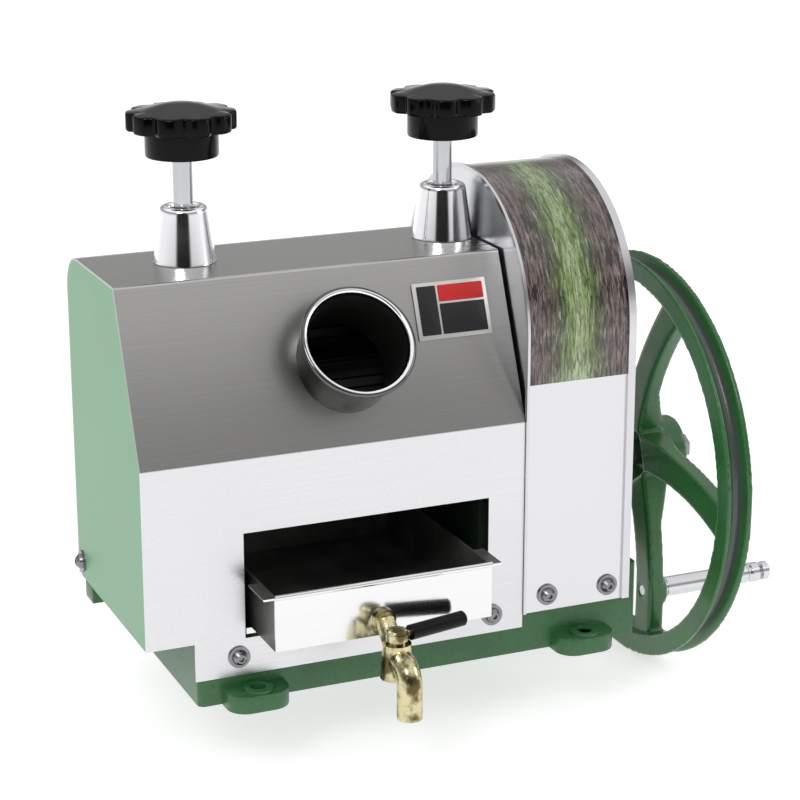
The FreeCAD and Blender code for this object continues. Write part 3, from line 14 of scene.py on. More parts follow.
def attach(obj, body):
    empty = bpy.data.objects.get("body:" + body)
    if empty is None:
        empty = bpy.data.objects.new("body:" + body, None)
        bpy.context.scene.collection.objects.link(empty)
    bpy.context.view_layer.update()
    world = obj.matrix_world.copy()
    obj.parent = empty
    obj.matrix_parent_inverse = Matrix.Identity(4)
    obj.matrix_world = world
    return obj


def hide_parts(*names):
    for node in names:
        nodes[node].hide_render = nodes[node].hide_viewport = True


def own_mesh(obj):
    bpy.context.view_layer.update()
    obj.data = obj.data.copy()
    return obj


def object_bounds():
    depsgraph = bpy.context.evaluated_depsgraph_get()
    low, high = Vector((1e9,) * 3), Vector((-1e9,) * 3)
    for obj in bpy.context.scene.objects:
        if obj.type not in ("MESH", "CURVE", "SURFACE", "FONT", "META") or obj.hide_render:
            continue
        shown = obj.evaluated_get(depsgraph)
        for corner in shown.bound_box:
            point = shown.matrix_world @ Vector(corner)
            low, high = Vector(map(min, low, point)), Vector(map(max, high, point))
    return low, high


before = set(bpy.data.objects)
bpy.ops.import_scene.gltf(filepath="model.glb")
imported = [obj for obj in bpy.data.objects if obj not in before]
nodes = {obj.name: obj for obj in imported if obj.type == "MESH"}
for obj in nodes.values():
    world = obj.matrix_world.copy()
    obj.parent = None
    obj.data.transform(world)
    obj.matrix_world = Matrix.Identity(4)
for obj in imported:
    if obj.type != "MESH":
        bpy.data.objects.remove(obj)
cad_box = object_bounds()

# %% [markdown]
# ## Writing shaders as sums
# A shader is a graph of small nodes. Drawing it link by link hides the idea, so a wire between
# two nodes is wrapped in a class that knows +, -, *, <, > and abs. `grain * 0.3 + 0.2` then
# adds the two Math nodes by itself. Every other node comes from one method, which sets the
# node's own settings first and then its inputs.

# %% Wires and paints
class Wire:
    """A number or a colour that comes out of a shader node."""

    def __init__(self, graph, socket):
        self.graph, self.socket = graph, socket

    def math(self, operation, *values):
        return self.graph.node("ShaderNodeMath", {"operation": operation}, *values)

    def __add__(self, other): return self.math("ADD", self, other)
    def __radd__(self, other): return self.math("ADD", other, self)
    def __sub__(self, other): return self.math("SUBTRACT", self, other)
    def __rsub__(self, other): return self.math("SUBTRACT", other, self)
    def __mul__(self, other): return self.math("MULTIPLY", self, other)
    def __rmul__(self, other): return self.math("MULTIPLY", other, self)
    def __gt__(self, other): return self.math("GREATER_THAN", self, other)
    def __lt__(self, other): return self.math("LESS_THAN", self, other)
    def __abs__(self): return self.math("ABSOLUTE", self)


def set_stops(colour_ramp, stops):
    """Gives a colour ramp its (position, colour) stops, from the lowest to the highest."""
    (first, first_colour), *between, (last, last_colour) = stops
    colours = colour_ramp.elements
    colours[0].position, colours[0].color = first, first_colour
    colours[1].position, colours[1].color = last, last_colour
    for position, colour in between:
        colours.new(position).color = colour


class Graph:
    """A node tree with short ways to add nodes to it."""

    def __init__(self, tree, coordinates):
        self.tree = tree
        self.place = self.node("ShaderNodeTexCoord", {}, out=coordinates)

    def put(self, socket, value):
        if isinstance(value, Wire):
            self.tree.links.new(value.socket, socket)
        else:
            socket.default_value = value

    def node(self, kind, settings, *values, out=0, numbered=(), **named):
        """A node of a kind: its settings first, then its inputs in order, by number or by name."""
        made = self.tree.nodes.new(kind)
        for key, value in settings.items():
            if key == "stops":
                set_stops(made.color_ramp, value)
            else:
                setattr(made, key, value)
        for key, value in (*enumerate(values), *numbered, *named.items()):
            self.put(made.inputs[key], value)
        return Wire(self, made.outputs[out])

    def vector(self, operation, *values):
        """Vector maths. A length and a dot product come out as a number."""
        out = "Value" if operation in ("LENGTH", "DOT_PRODUCT") else "Vector"
        return self.node("ShaderNodeVectorMath", {"operation": operation}, *values, out=out)

    def noise(self, scale, detail=3.0, vector=None, roughness=0.5):
        return self.node("ShaderNodeTexNoise", {}, Vector=vector or self.place, Scale=scale,
                         Detail=detail, Roughness=roughness)

    def stretched(self, x, y, z):
        """Coordinates multiplied along each axis, to draw a noise out into lines."""
        return self.vector("MULTIPLY", self.place, (x, y, z))

    def ramp(self, value, low, high):
        """0 at low and 1 at high, with a soft start and end."""
        return self.node("ShaderNodeMapRange",
                         {"clamp": True, "interpolation_type": "SMOOTHSTEP"}, value, low, high)

    def mix(self, factor, first, second, blend="MIX"):
        """Two colours mixed. A Mix node's colour sockets are inputs 0, 6 and 7, and output 2."""
        return self.node("ShaderNodeMix", {"data_type": "RGBA", "blend_type": blend}, out=2,
                         numbered=((0, factor), (6, first), (7, second)))

    def axis(self, letter):
        return self.node("ShaderNodeSeparateXYZ", {}, self.place, out=letter)


class Paint(Graph):
    """One material, built around a Principled shader."""

    def __init__(self, name):
        self.material = bpy.data.materials.new(name)
        self.material.use_nodes = True
        super().__init__(self.material.node_tree, "Object")
        self.shader = self.tree.nodes["Principled BSDF"]

    def set(self, **values):
        """Principled inputs by name, with _ for a space."""
        for key, value in values.items():
            self.put(self.shader.inputs[key.replace("_", " ")], value)

    def bump(self, height, strength, distance):
        self.set(Normal=self.node("ShaderNodeBump", {}, Strength=strength, Distance=distance,
                                  Height=height))


def rgb(red, green, blue):
    """A colour given as eye values from 0 to 255, turned into light values."""
    return tuple((c / 255 / 12.92 if c <= 10 else ((c / 255 + 0.055) / 1.055) ** 2.4)
                 for c in (red, green, blue)) + (1.0,)


def darker(colour, share):
    return tuple(c * share for c in colour[:3]) + (1,)


print("mid grey in light values", round(rgb(128, 128, 128)[0], 3))

# %% [markdown]
# ## Rolled and brushed steel
# The covers are stainless sheet with a finely brushed face. A brush leaves thousands of
# scratches in one direction, so noise is stretched 150 times along that direction. The
# scratches change how rough the steel is far more than its colour, and broad clouds of handling
# marks lie over them.

# %% Brushed sheet
BRUSH = {"X": (6, 900, 900), "Z": (900, 900, 6)}
FINE_BUMP = 0.0003


def scratches(paint, along="X"):
    return paint.noise(1.0, 4.0, paint.stretched(*BRUSH[along]))


def brushed_sheet(name, along, base, rough=0.24, scratch=0.10):
    paint = Paint(name)
    lines = scratches(paint, along)
    broad = paint.noise(6.0, 2.0)
    tone = paint.mix(lines * 0.5, base, darker(base, 0.86))
    tone = paint.mix(paint.ramp(broad, 0.4, 0.7) * 0.1, tone, darker(base, 0.75))
    paint.set(Base_Color=tone, Metallic=1.0,
              Roughness=lines * scratch + broad * 0.08 + (rough - 0.06))
    paint.bump(lines, 0.04, FINE_BUMP)
    return paint.material


steel_sheet = brushed_sheet("steel_sheet", "X", rgb(184, 184, 184), rough=0.3)
side_sheet = brushed_sheet("side_sheet", "Z", rgb(216, 217, 220), rough=0.22, scratch=0.08)
hidden_sheet = brushed_sheet("hidden_sheet", "X", rgb(120, 120, 120), rough=0.4)
print("sheet finishes", steel_sheet.name, side_sheet.name, hidden_sheet.name)

# %% [markdown]
# ## The folded cover
# One sheet shows three tones: the plate in front looks almost white, the sloping face above the
# bend is a mid grey that darkens downwards, and the top is between them. Most of that is what each
# face mirrors, and here it is put into the base colour as painted reflection. A mask on the height
# and the depth gives the slope a grey that grows lighter upwards, and gives the top a grey between
# the slope and the front. The slope is also a little rougher, and its brush lines show more
# strongly.

# %% Cover finish
FRONT_BEND, TOP_BEND, SLOPE_BACK = 0.1800, 0.2962, -0.0600
SLOPE_FADE = (0.178, 0.300)
BACK_FADE = (0.262, TOP_BEND)


def cover_finish():
    paint = Paint("cover_sheet")
    deep, high = paint.axis("Y"), paint.axis("Z")
    lines = scratches(paint)
    broad = paint.noise(6.0, 2.0)
    before, behind = deep < SLOPE_BACK, deep > SLOPE_BACK
    slope = (high > FRONT_BEND) * (high < TOP_BEND) * before
    # painted reflection: the slope's grey, darker at the bottom and lighter at the top
    slope_painted_reflection = paint.mix(paint.ramp(high, *SLOPE_FADE), rgb(168, 167, 165), rgb(204, 203, 201))
    tone = paint.mix(slope, rgb(214, 214, 216), slope_painted_reflection)
    # painted reflection: the top face's grey, between the slope and the front
    top = paint.ramp(high, *BACK_FADE) * behind + (high > TOP_BEND) * before
    tone = paint.mix(top, tone, rgb(182, 181, 179))
    tone = paint.mix(lines * (slope * 0.22 + 0.05), tone, rgb(90, 90, 90), "MULTIPLY")
    tone = paint.mix(paint.ramp(broad, 0.45, 0.75) * 0.06, tone, rgb(150, 150, 150))
    paint.set(Base_Color=tone, Metallic=1.0,
              Roughness=lines * 0.10 + broad * 0.06 + slope * 0.05 + 0.20)
    paint.bump(lines * (slope * 0.7 + 0.3), 0.04, FINE_BUMP)
    return paint.material


cover_sheet = cover_finish()
print("slope from", FRONT_BEND, "to", TOP_BEND)

# %% [markdown]
# ## The juice tray
# The tray's front is as bright as a mirror, while its inside lies in the dark of the machine. That
# dark is painted shade. A mask on the depth and the height splits the two: everything behind the
# inner face of the front and below the rim gets a dark grey base colour, blotched by juice stains,
# and a duller finish that is less metal. The rim keeps the bright tone of the front and still
# catches a thin line of light.

# %% Tray finish
FRONT_INNER_FACE, TRAY_RIM = -0.1467, 0.0893


def tray_finish():
    paint = Paint("tray_sheet")
    lines = scratches(paint)
    stain = paint.noise(22.0, 4.0)
    inside = (paint.axis("Y") > FRONT_INNER_FACE) * (paint.axis("Z") < TRAY_RIM)
    front = paint.mix(lines * 0.15, rgb(228, 228, 229), rgb(190, 190, 191))
    # painted shade inside the tray, blotched by juice stains
    painted_shade_and_stain = paint.mix(paint.ramp(stain, 0.35, 0.7), rgb(84, 84, 82), rgb(122, 121, 117))
    paint.set(Base_Color=paint.mix(inside, front, painted_shade_and_stain), Metallic=1 - inside * 0.4,
              Roughness=lines * 0.06 + inside * 0.30 + 0.10)
    paint.bump(lines, 0.03, FINE_BUMP)
    return paint.material


tray_sheet = tray_finish()
print("tray front's inner face at", FRONT_INNER_FACE)

# %% [markdown]
# ## Green enamel
# The castings are painted straight over sand-cast iron, so the paint follows a soft, lumpy
# surface and pools a little darker in the hollows. The side panel is sheet, so its paint is
# flatter and lighter. Both are the same recipe with other numbers. The belt groove of the wheel
# is rubbed to a dull grey: a mask on the distance from the wheel's axis, and on the place
# across its rim, keeps that to the groove.

# %% Enamel
RIM_MIDDLE = 0.2265
WHEEL_AXIS = (0.0, -0.0100, 0.1055)
GROOVE_FADE = (0.0062, 0.0040)
GROOVE_FLOOR = 0.1462


def belt_groove(paint):
    reach = paint.vector("LENGTH", paint.vector("SUBTRACT", paint.stretched(0, 1, 1), WHEEL_AXIS))
    aside = abs(paint.axis("X") - RIM_MIDDLE)
    return paint.ramp(aside, *GROOVE_FADE) * (reach > GROOVE_FLOOR)


def enamel(name, body, shade, lump, speck, rough=0.30, coat=0.5, wear_and_painted_sheen=None):
    paint = Paint(name)
    sand = paint.noise(speck, 4.0, roughness=0.6)
    swell = paint.noise(26.0, 2.0)
    tone = paint.mix(paint.ramp(sand, 0.3, 0.75) * 0.45, body, shade)
    tone = paint.mix(paint.ramp(swell, 0.45, 0.75) * 0.35, tone, shade)
    worn = paint.ramp(paint.noise(160.0, 5.0, roughness=0.7), 0.70, 0.78)
    worn_tone = tuple(min(1, c * 1.6 + 0.02) for c in body[:3]) + (1,)
    tone = paint.mix(worn * 0.3, tone, worn_tone)
    if wear_and_painted_sheen:
        tone = paint.mix(wear_and_painted_sheen(paint) * 0.85, tone, rgb(74, 76, 76))
    paint.set(Base_Color=tone, Roughness=sand * 0.16 + rough, Coat_Weight=coat,
              Coat_Roughness=0.12)
    paint.bump(sand * 0.6 + swell, lump, 0.0012)
    return paint.material


base_enamel = enamel("base_enamel", rgb(38, 94, 48), rgb(22, 66, 31), 0.35, 420.0, coat=0.2)
# painted shade: the inner walls and bearing blocks get a near black green, for the dark inside the
# machine
inner_enamel_painted_shade = enamel("inner_enamel_painted_shade", rgb(20, 40, 25), rgb(12, 26, 16), 0.30, 420.0, rough=0.5,
                      coat=0.05)
wheel_enamel = enamel("wheel_enamel", rgb(32, 98, 40), rgb(14, 58, 22), 0.25, 480.0, rough=0.24,
                      coat=0.3, wear_and_painted_sheen=belt_groove)
panel_enamel = enamel("panel_enamel", rgb(99, 153, 114), rgb(90, 144, 105), 0.08, 700.0,
                      coat=0.08)
print("enamels", base_enamel.name, inner_enamel_painted_shade.name, wheel_enamel.name, panel_enamel.name)

# %% [markdown]
# ## Machined metal
# Shafts, gears and rollers are turned, which leaves fine rings round their axis. Bronze bushes are
# the same with a warm colour. The rollers' dark grey is painted shade, for the dark between the
# walls, and they are dull, since juice dries on them.

# %% Turned metal
def turned_metal(name, base, rough, rings=2600.0, ring=0.04):
    paint = Paint(name)
    groove = paint.noise(1.0, 2.0, paint.stretched(rings, 12, 12))
    cloud = paint.noise(40.0, 3.0)
    tone = paint.mix(cloud * 0.3, base, darker(base, 0.72))
    paint.set(Base_Color=tone, Metallic=1.0, Roughness=cloud * 0.12 + groove * 0.08 + rough)
    paint.bump(groove, ring, FINE_BUMP)
    return paint.material


turned_steel = turned_metal("turned_steel", rgb(190, 190, 192), 0.2)
# painted shade: the rollers' near black grey
roller_steel_painted_shade = turned_metal("roller_steel_painted_shade", rgb(44, 44, 43), 0.42)
zinc_steel = turned_metal("zinc_steel", rgb(190, 191, 194), 0.08, 60.0)
trim_steel = turned_metal("trim_steel", rgb(206, 206, 209), 0.05, 60.0)
bolt_steel = turned_metal("bolt_steel", rgb(138, 138, 140), 0.20, 60.0)
bush_bronze = turned_metal("bush_bronze", rgb(196, 148, 84), 0.28)
handle_steel = turned_metal("handle_steel", rgb(214, 214, 216), 0.10, 900.0)
chrome = turned_metal("chrome", rgb(250, 250, 252), 0.02, 30.0, 0.01)
print("materials so far", len(bpy.data.materials))

# %% [markdown]
# ## Cast brass
# The tap is cast in brass and tumbled, not machined: its skin is softly dented, bright on the
# swells and brown in the dips, where the polish doesn't reach. One noise drives both, so that
# the brown always lies where the bump goes down.

# %% Brass
def cast_brass():
    paint = Paint("tap_brass")
    dents = paint.noise(95.0, 3.0)
    grain = paint.noise(700.0, 3.0)
    tone = paint.mix(paint.ramp(dents, 0.36, 0.60), rgb(96, 84, 54), rgb(208, 199, 158))
    tone = paint.mix(paint.ramp(grain, 0.55, 0.8) * 0.25, tone, rgb(120, 104, 70))
    paint.set(Base_Color=tone, Metallic=1.0, Roughness=grain * 0.14 - dents * 0.10 + 0.20)
    paint.bump(dents + grain * 0.12, 0.45, 0.0012)
    return paint.material


tap_brass = cast_brass()
print("tap finish", tap_brass.name)

# %% [markdown]
# ## The feed tube's steel
# Outside, the tube is bright at its mouth. Its inside mirrors only the dark between the rollers:
# that is painted shade, a near black base colour, and the inside is rough and not metal. The
# distance from the tube's slanting axis tells inside from outside, and the distance along it tells
# the bright mouth from the darker wall below. The mouth's brightness, the wall's dark grey and a
# dark band on the bead's outer side are painted reflection.

# %% Tube finish
TUBE_MOUTH = Vector((-0.0525, -0.091751, 0.235760))
TUBE_WAY = Vector((0.0, -0.78815, 0.61549))
TUBE_BORE = 0.0362
MOUTH_FADE = (0.0275, 0.0262)
BEAD_FADE = (0.0391, 0.0397)


def tube_finish():
    paint = Paint("tube_steel")
    from_mouth = paint.vector("SUBTRACT", paint.place, TUBE_MOUTH)
    reach = paint.vector("LENGTH", paint.vector("CROSS_PRODUCT", from_mouth, TUBE_WAY))
    along = paint.vector("DOT_PRODUCT", from_mouth, TUBE_WAY)
    inside = reach < TUBE_BORE
    cloud = paint.noise(40.0, 3.0)
    # painted reflection: a bright ring at the mouth, a dark wall below it, and a dark band on the
    # bead's outer side
    ring = paint.mix(cloud * 0.3, rgb(246, 247, 248), rgb(205, 205, 205))
    wall = paint.mix(paint.ramp(cloud, 0.35, 0.65), rgb(44, 44, 43), rgb(96, 96, 94))
    outside = paint.mix(paint.ramp(along, *MOUTH_FADE), ring, wall)
    outside = paint.mix(paint.ramp(reach, *BEAD_FADE) * 0.9, outside, rgb(54, 54, 53))
    # painted shade: the near black bore
    bore = paint.mix(cloud, rgb(10, 10, 9), rgb(24, 24, 22))
    paint.set(Base_Color=paint.mix(inside, outside, bore), Metallic=1 - inside,
              Roughness=cloud * 0.05 + inside * 0.35 + 0.05)
    paint.bump(cloud, 0.02, 0.0004)
    return paint.material


tube_steel = tube_finish()
print("tube bore", TUBE_BORE)

# %% [markdown]
# ## Moulded black
# The star knobs are glossy moulded plastic, and the tap lever wears a smooth rubber sleeve.
# The upper faces of the knobs get a painted sheen: they are greyer than the sides, from the height
# where the lobes' upper edges begin.

# %% Plastic and rubber
KNOB_SHOULDER = (0.4036, 0.4048)


def moulded_black(name, rough, coat, pebble):
    paint = Paint(name)
    grain = paint.noise(900.0, 3.0)
    # painted sheen on the knobs' upper faces
    wear_and_painted_sheen = paint.ramp(paint.axis("Z"), *KNOB_SHOULDER)
    tone = paint.mix(wear_and_painted_sheen, paint.mix(grain, rgb(2, 2, 3), rgb(6, 6, 7)), rgb(34, 34, 36))
    paint.set(Base_Color=tone, Specular_IOR_Level=0.12, Roughness=grain * 0.1 + rough,
              Coat_Weight=coat, Coat_Roughness=0.06)
    paint.bump(grain, pebble, FINE_BUMP)
    return paint.material


knob_black = moulded_black("knob_black", 0.12, 0.0, 0.02)
rubber_black = moulded_black("rubber_black", 0.32, 0.1, 0.12)
print("blacks", knob_black.name, rubber_black.name)

# %% [markdown]
# ## The printed band
# A plastic film is wrapped over the top of the gear cover. Its print is light green along the
# middle and dark brown towards both edges, broken by fine dark strokes that follow the band
# round. It is a plain pattern of its own: a colour ramp on the distance from the middle, and
# noise stretched along the band in three sizes.

# %% Band finish
BAND_LOW, PALE_HEIGHT = 0.2065, 0.024
BAND_LEFT, BAND_RIGHT = 0.0797, 0.1597
BAND_COLOURS = ((0.0, rgb(150, 166, 122)), (0.25, rgb(112, 138, 74)), (0.5, rgb(82, 94, 54)),
                (0.72, rgb(84, 76, 64)), (1.0, rgb(104, 84, 86)))


def band_print(paint, high, strokes):
    """The print's colours, from the middle of the band to its edges."""
    edge = abs(paint.ramp(paint.axis("X"), BAND_LEFT, BAND_RIGHT) * 2 - 1)
    wobble = paint.noise(70.0, 4.0, roughness=0.6)
    blotch = paint.noise(90.0, 4.0, roughness=0.6)
    wisps = paint.noise(1.0, 4.0, paint.stretched(760, 60, 60), roughness=0.6)
    fine = paint.noise(1.0, 3.0, paint.stretched(1500, 170, 170), roughness=0.7)
    uneven = paint.node("ShaderNodeMath", {"operation": "ADD", "use_clamp": True},
                        edge, (wobble - 0.5) * 0.42)
    tone = paint.node("ShaderNodeValToRGB", {"stops": BAND_COLOURS}, uneven)
    pale = paint.ramp(high, BAND_LOW + PALE_HEIGHT, BAND_LOW) * (1 - edge)
    pale = pale + paint.ramp(blotch, 0.56, 0.75) * 0.45
    tone = paint.mix(pale * 0.6, tone, rgb(178, 188, 158))
    wisp_tone = paint.mix(edge, rgb(206, 214, 190), rgb(150, 142, 136))
    tone = paint.mix(paint.ramp(wisps, 0.54, 0.66) * 0.55, tone, wisp_tone)
    dark = paint.ramp(strokes, 0.48, 0.56) * (edge * 0.40 + 0.50)
    tone = paint.mix(dark, tone, rgb(50, 48, 42), "MULTIPLY")
    return paint.mix(paint.ramp(fine, 0.50, 0.62) * 0.6, tone, rgb(60, 60, 52), "MULTIPLY")


def band_finish():
    paint = Paint("printed_band")
    high = paint.axis("Z")
    bare = high < BAND_LOW
    strokes = paint.noise(1.0, 4.0, paint.stretched(520, 70, 70), roughness=0.62)
    steel = paint.mix(scratches(paint) * 0.1, rgb(212, 212, 215), rgb(186, 186, 188))
    paint.set(Base_Color=paint.mix(bare, band_print(paint, high, strokes), steel), Metallic=bare,
              Roughness=bare * 0.04 + strokes * 0.05 + 0.17, Coat_Weight=(1 - bare) * 0.5)
    paint.bump(strokes, 0.03, FINE_BUMP)
    return paint.material


printed_band = band_finish()
print("band width", round(BAND_RIGHT - BAND_LEFT, 4))

# %% [markdown]
# ## Putting the finishes on the frame
# Each CAD node keeps its mesh. Only the material in its slots is exchanged.

# %% Assign finishes
FINISHES = {
    base_enamel: ("base_frame", "outboard_bearing"),
    inner_enamel_painted_shade: ("wall_left", "wall_right", "bearing_blocks"),
    wheel_enamel: ("handwheel",),
    panel_enamel: ("left_side_panel",),
    cover_sheet: ("main_cover",),
    steel_sheet: ("outlet_chute",),
    side_sheet: ("gear_cover_plate_left", "gear_cover_plate_right"),
    hidden_sheet: ("tray_rails", "turn_plate", "wall_feet", "screw_bridges", "roller_scrapers"),
    tray_sheet: ("juice_tray",),
    roller_steel_painted_shade: ("top_roller", "front_roller", "rear_roller"),
    turned_steel: ("top_roller_gear", "front_roller_gear", "rear_roller_gear", "drive_gear",
                   "drive_pinion", "input_shaft", "thrust_pads", "block_springs", "wheel_key"),
    zinc_steel: ("adjusting_screw_left", "adjusting_screw_right", "tie_rods"),
    bolt_steel: ("front_bolts", "gear_cover_bolts", "side_panel_bolt", "wheel_bolt"),
    handle_steel: ("handle_spindle", "handle_sleeve"),
    bush_bronze: ("lower_bushes", "top_bushes", "input_bushes"),
    chrome: ("screw_cups",),
    trim_steel: ("gear_cover_trim",),
    tube_steel: ("feed_tube",),
    tap_brass: ("tap_body", "tap_plug", "tap_lever", "tap_nut"),
    rubber_black: ("tap_grip",),
    knob_black: ("star_knob_left", "star_knob_right"),
    printed_band: ("gear_cover",),
}
finished = set()
for finish, names in FINISHES.items():
    for name in names:
        for slot in nodes[name].material_slots:
            slot.material = finish
        finished.add(name)
print("without a finish:", sorted(set(nodes) - finished))

# %% [markdown]
# ## Working by hand, in code
# The next pieces are made as one would with a mouse: start from a simple form, go into edit
# mode, extrude, spin and scale, then finish with modifiers. A round piece is drawn as half of
# its outline and spun round its axis, like clay on a wheel.

# %% Workshop helpers
WELD = 0.00001
IN_PLACE = Matrix.Identity(4)
TO_X = Matrix.Rotation(math.radians(90), 4, "Y")


def only(piece):
    """Makes a piece the whole selection, and the active one."""
    bpy.ops.object.select_all(action="DESELECT")
    piece.select_set(True)
    bpy.context.view_layer.objects.active = piece


def start(name, primitive, **settings):
    """A new primitive, alone in the selection, with its own name."""
    bpy.ops.object.select_all(action="DESELECT")
    getattr(bpy.ops.mesh, primitive)(**settings)
    piece = bpy.context.object
    piece.name = piece.data.name = name
    return piece


def edit(on=True):
    bpy.ops.object.mode_set(mode="EDIT" if on else "OBJECT")


def everything():
    bpy.ops.mesh.select_all(action="SELECT")


def pick(kind, test):
    """In edit mode, selects the vertices, edges or faces that the test accepts."""
    bpy.ops.mesh.select_mode(type={"verts": "VERT", "edges": "EDGE", "faces": "FACE"}[kind])
    bpy.ops.mesh.select_all(action="DESELECT")
    mesh = bmesh.from_edit_mesh(bpy.context.object.data)
    for item in getattr(mesh, kind):
        if test(item):
            item.select_set(True)
    bmesh.update_edit_mesh(bpy.context.object.data)


def applied(piece, kind, **settings):
    """Adds a modifier and applies it at once."""
    bpy.context.view_layer.objects.active = piece
    modifier = piece.modifiers.new(kind.lower(), kind)
    for key, value in settings.items():
        setattr(modifier, key, value)
    bpy.ops.object.modifier_apply(modifier=modifier.name)


def turned(name, profile, steps=72):
    """Half an outline, as (radius, height) points, spun round the Z axis."""
    piece = start(name, "primitive_plane_add", size=0.001)
    edit()
    everything()
    bpy.ops.mesh.merge(type="CENTER")
    bpy.ops.transform.translate(value=(profile[0][0], 0, profile[0][1]))
    for (r0, z0), (r1, z1) in zip(profile, profile[1:]):
        bpy.ops.mesh.extrude_vertices_move(
            TRANSFORM_OT_translate={"value": (r1 - r0, 0, z1 - z0)})
    everything()
    bpy.ops.mesh.spin(steps=steps, angle=math.tau, center=(0, 0, 0), axis=(0, 0, 1))
    everything()
    bpy.ops.mesh.remove_doubles(threshold=WELD)
    bpy.ops.mesh.normals_make_consistent(inside=False)
    edit(False)
    return piece


def settle(piece, matrix, body, finish, replaced=(), sharp=35):
    """Puts a piece in its place, fixes the place in its mesh, and gives it finish and body."""
    only(piece)
    piece.matrix_world = matrix
    bpy.ops.object.transform_apply(location=True, rotation=True, scale=True)
    bpy.ops.object.shade_smooth_by_angle(angle=math.radians(sharp))
    piece.data.materials.clear()
    piece.data.materials.append(finish)
    if replaced:
        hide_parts(*replaced)
    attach(piece, body)
    print(piece.name, len(piece.data.polygons), "faces, on", body)


def at(x, y, z):
    return Matrix.Translation((x, y, z))


print("helpers ready, weld distance", WELD)

# %% [markdown]
# ## Star knobs
# A star knob is a thick disc with finger hollows between its lobes, a plain hub below and a low
# dome above. The hollows could be cut with cylinders. Here the disc is spun with twelve columns
# of points for each lobe, and the columns of a hollow are then drawn in, which keeps the crisp
# edge at the top and bottom of every lobe.

# %% Star knobs
SCREW_Y, LEFT_X, RIGHT_X = -0.010, -0.142, 0.058
LOBES, COLUMNS = 10, 12
RIM, LOBE_INSIDE, LOBE_MIDDLE = 0.0388, 0.030, 0.39
HOLLOW = {0: 0.890, 1: 0.902, 11: 0.902, 2: 0.945, 10: 0.945, 3: 0.985, 9: 0.985}
KNOB_PROFILE = (
    (0.0, 0.3722), (0.0232, 0.3722), (0.0254, 0.3728), (0.026, 0.3740), (0.026, 0.3912),
    (RIM - 0.0025, 0.3912), (RIM - 0.0009, 0.3915), (RIM - 0.0001, 0.3926), (RIM, 0.3940),
    (RIM, 0.4030), (RIM - 0.0004, 0.4040), (RIM - 0.0015, 0.4046), (0.0290, 0.4052),
    (0.0270, 0.4054), (0.0200, 0.4074), (0.0120, 0.4094), (0.0060, 0.4102), (0.0, 0.4104))


def star_knob(name):
    piece = turned(name, KNOB_PROFILE, LOBES * COLUMNS)
    edit()
    for column, pull in HOLLOW.items():

        def in_hollow(vert):
            turn = math.degrees(math.atan2(vert.co.y, vert.co.x))
            step = round(turn / (360 / (LOBES * COLUMNS)))
            return math.hypot(vert.co.x, vert.co.y) > LOBE_INSIDE and step % COLUMNS == column

        pick("verts", in_hollow)
        bpy.ops.transform.resize(value=(pull, pull, 1), center_override=(0, 0, LOBE_MIDDLE))
    edit(False)
    return piece


for side, x, turn in (("left", LEFT_X, 3), ("right", RIGHT_X, 15)):
    turned_round = Matrix.Rotation(math.radians(turn), 4, "Z")
    settle(star_knob(f"lobed_knob_{side}"), at(x, SCREW_Y, 0) @ turned_round, f"knob_{side}",
           knob_black, (f"star_knob_{side}",), 40)

# %% [markdown]
# ## Bright cups
# The cups that hide the nut bars are pressed cones with a rolled upper lip. Only a thin wall is
# seen at the top, where the screw passes through with room to spare. The right one stands
# against the gear cover, so a bisect cuts it flat on that side and closes the cut.

# %% Screw cups
CUP_CUT = 0.0192
CUP_PROFILE = (
    (0.0222, 0.2971), (0.0226, 0.2975), (0.0222, 0.2990), (0.0175, 0.3335), (0.0172, 0.3352),
    (0.0164, 0.3366), (0.0150, 0.3372), (0.0128, 0.3370), (0.0112, 0.3360), (0.0106, 0.3340),
    (0.0104, 0.3240), (0.0076, 0.3236), (0.0076, 0.2975), (0.0222, 0.2971))
for side, x in (("left", LEFT_X), ("right", RIGHT_X)):
    cup = turned(f"bright_cup_{side}", CUP_PROFILE, 80)
    if side == "right":
        edit()
        everything()
        bpy.ops.mesh.bisect(plane_co=(CUP_CUT, 0, 0), plane_no=(1, 0, 0), clear_outer=True,
                            use_fill=True)
        edit(False)
    settle(cup, at(x, SCREW_Y, 0), "frame", chrome, ("screw_cups",) if side == "left" else (),
           40)

# %% [markdown]
# ## Feed tube
# The tube is thin steel that flares to a mouth, rolled outwards into a bead with a bright flat
# ring inside it. Its outline is drawn once, wall and bead together, and spun round its own axis,
# which slants upwards out of the slope.

# %% Feed tube
BEAD, BEAD_REACH, BEAD_HEIGHT = 0.0026, 0.0394, 0.0300
tube_turn = Matrix.Rotation(math.atan2(-TUBE_WAY.y, TUBE_WAY.z), 4, "X")
bead = [(BEAD_REACH + BEAD * math.cos(angle), BEAD_HEIGHT + BEAD * math.sin(angle))
        for angle in map(math.radians, range(-80, 151, 23))]
tube_profile = [
    (0.0365, -0.018), (0.0365, 0.0215), (0.0372, 0.0246), (0.0382, 0.0270), *bead,
    (0.0366, 0.0296), (0.0362, 0.0284), (0.0350, 0.0220), (0.0349, -0.018), (0.0365, -0.018)]
settle(turned("feed_mouth", tube_profile, 96), at(*TUBE_MOUTH) @ tube_turn, "frame", tube_steel,
       ("feed_tube",), 50)

# %% [markdown]
# ## Handwheel
# The wheel is a sand casting: where spoke meets rim or hub there is a generous fillet. The CAD
# form has hard corners there. A copy is closed into one skin of small even squares, and the
# skin is then relaxed, which rounds every inner and outer corner as a foundry would.

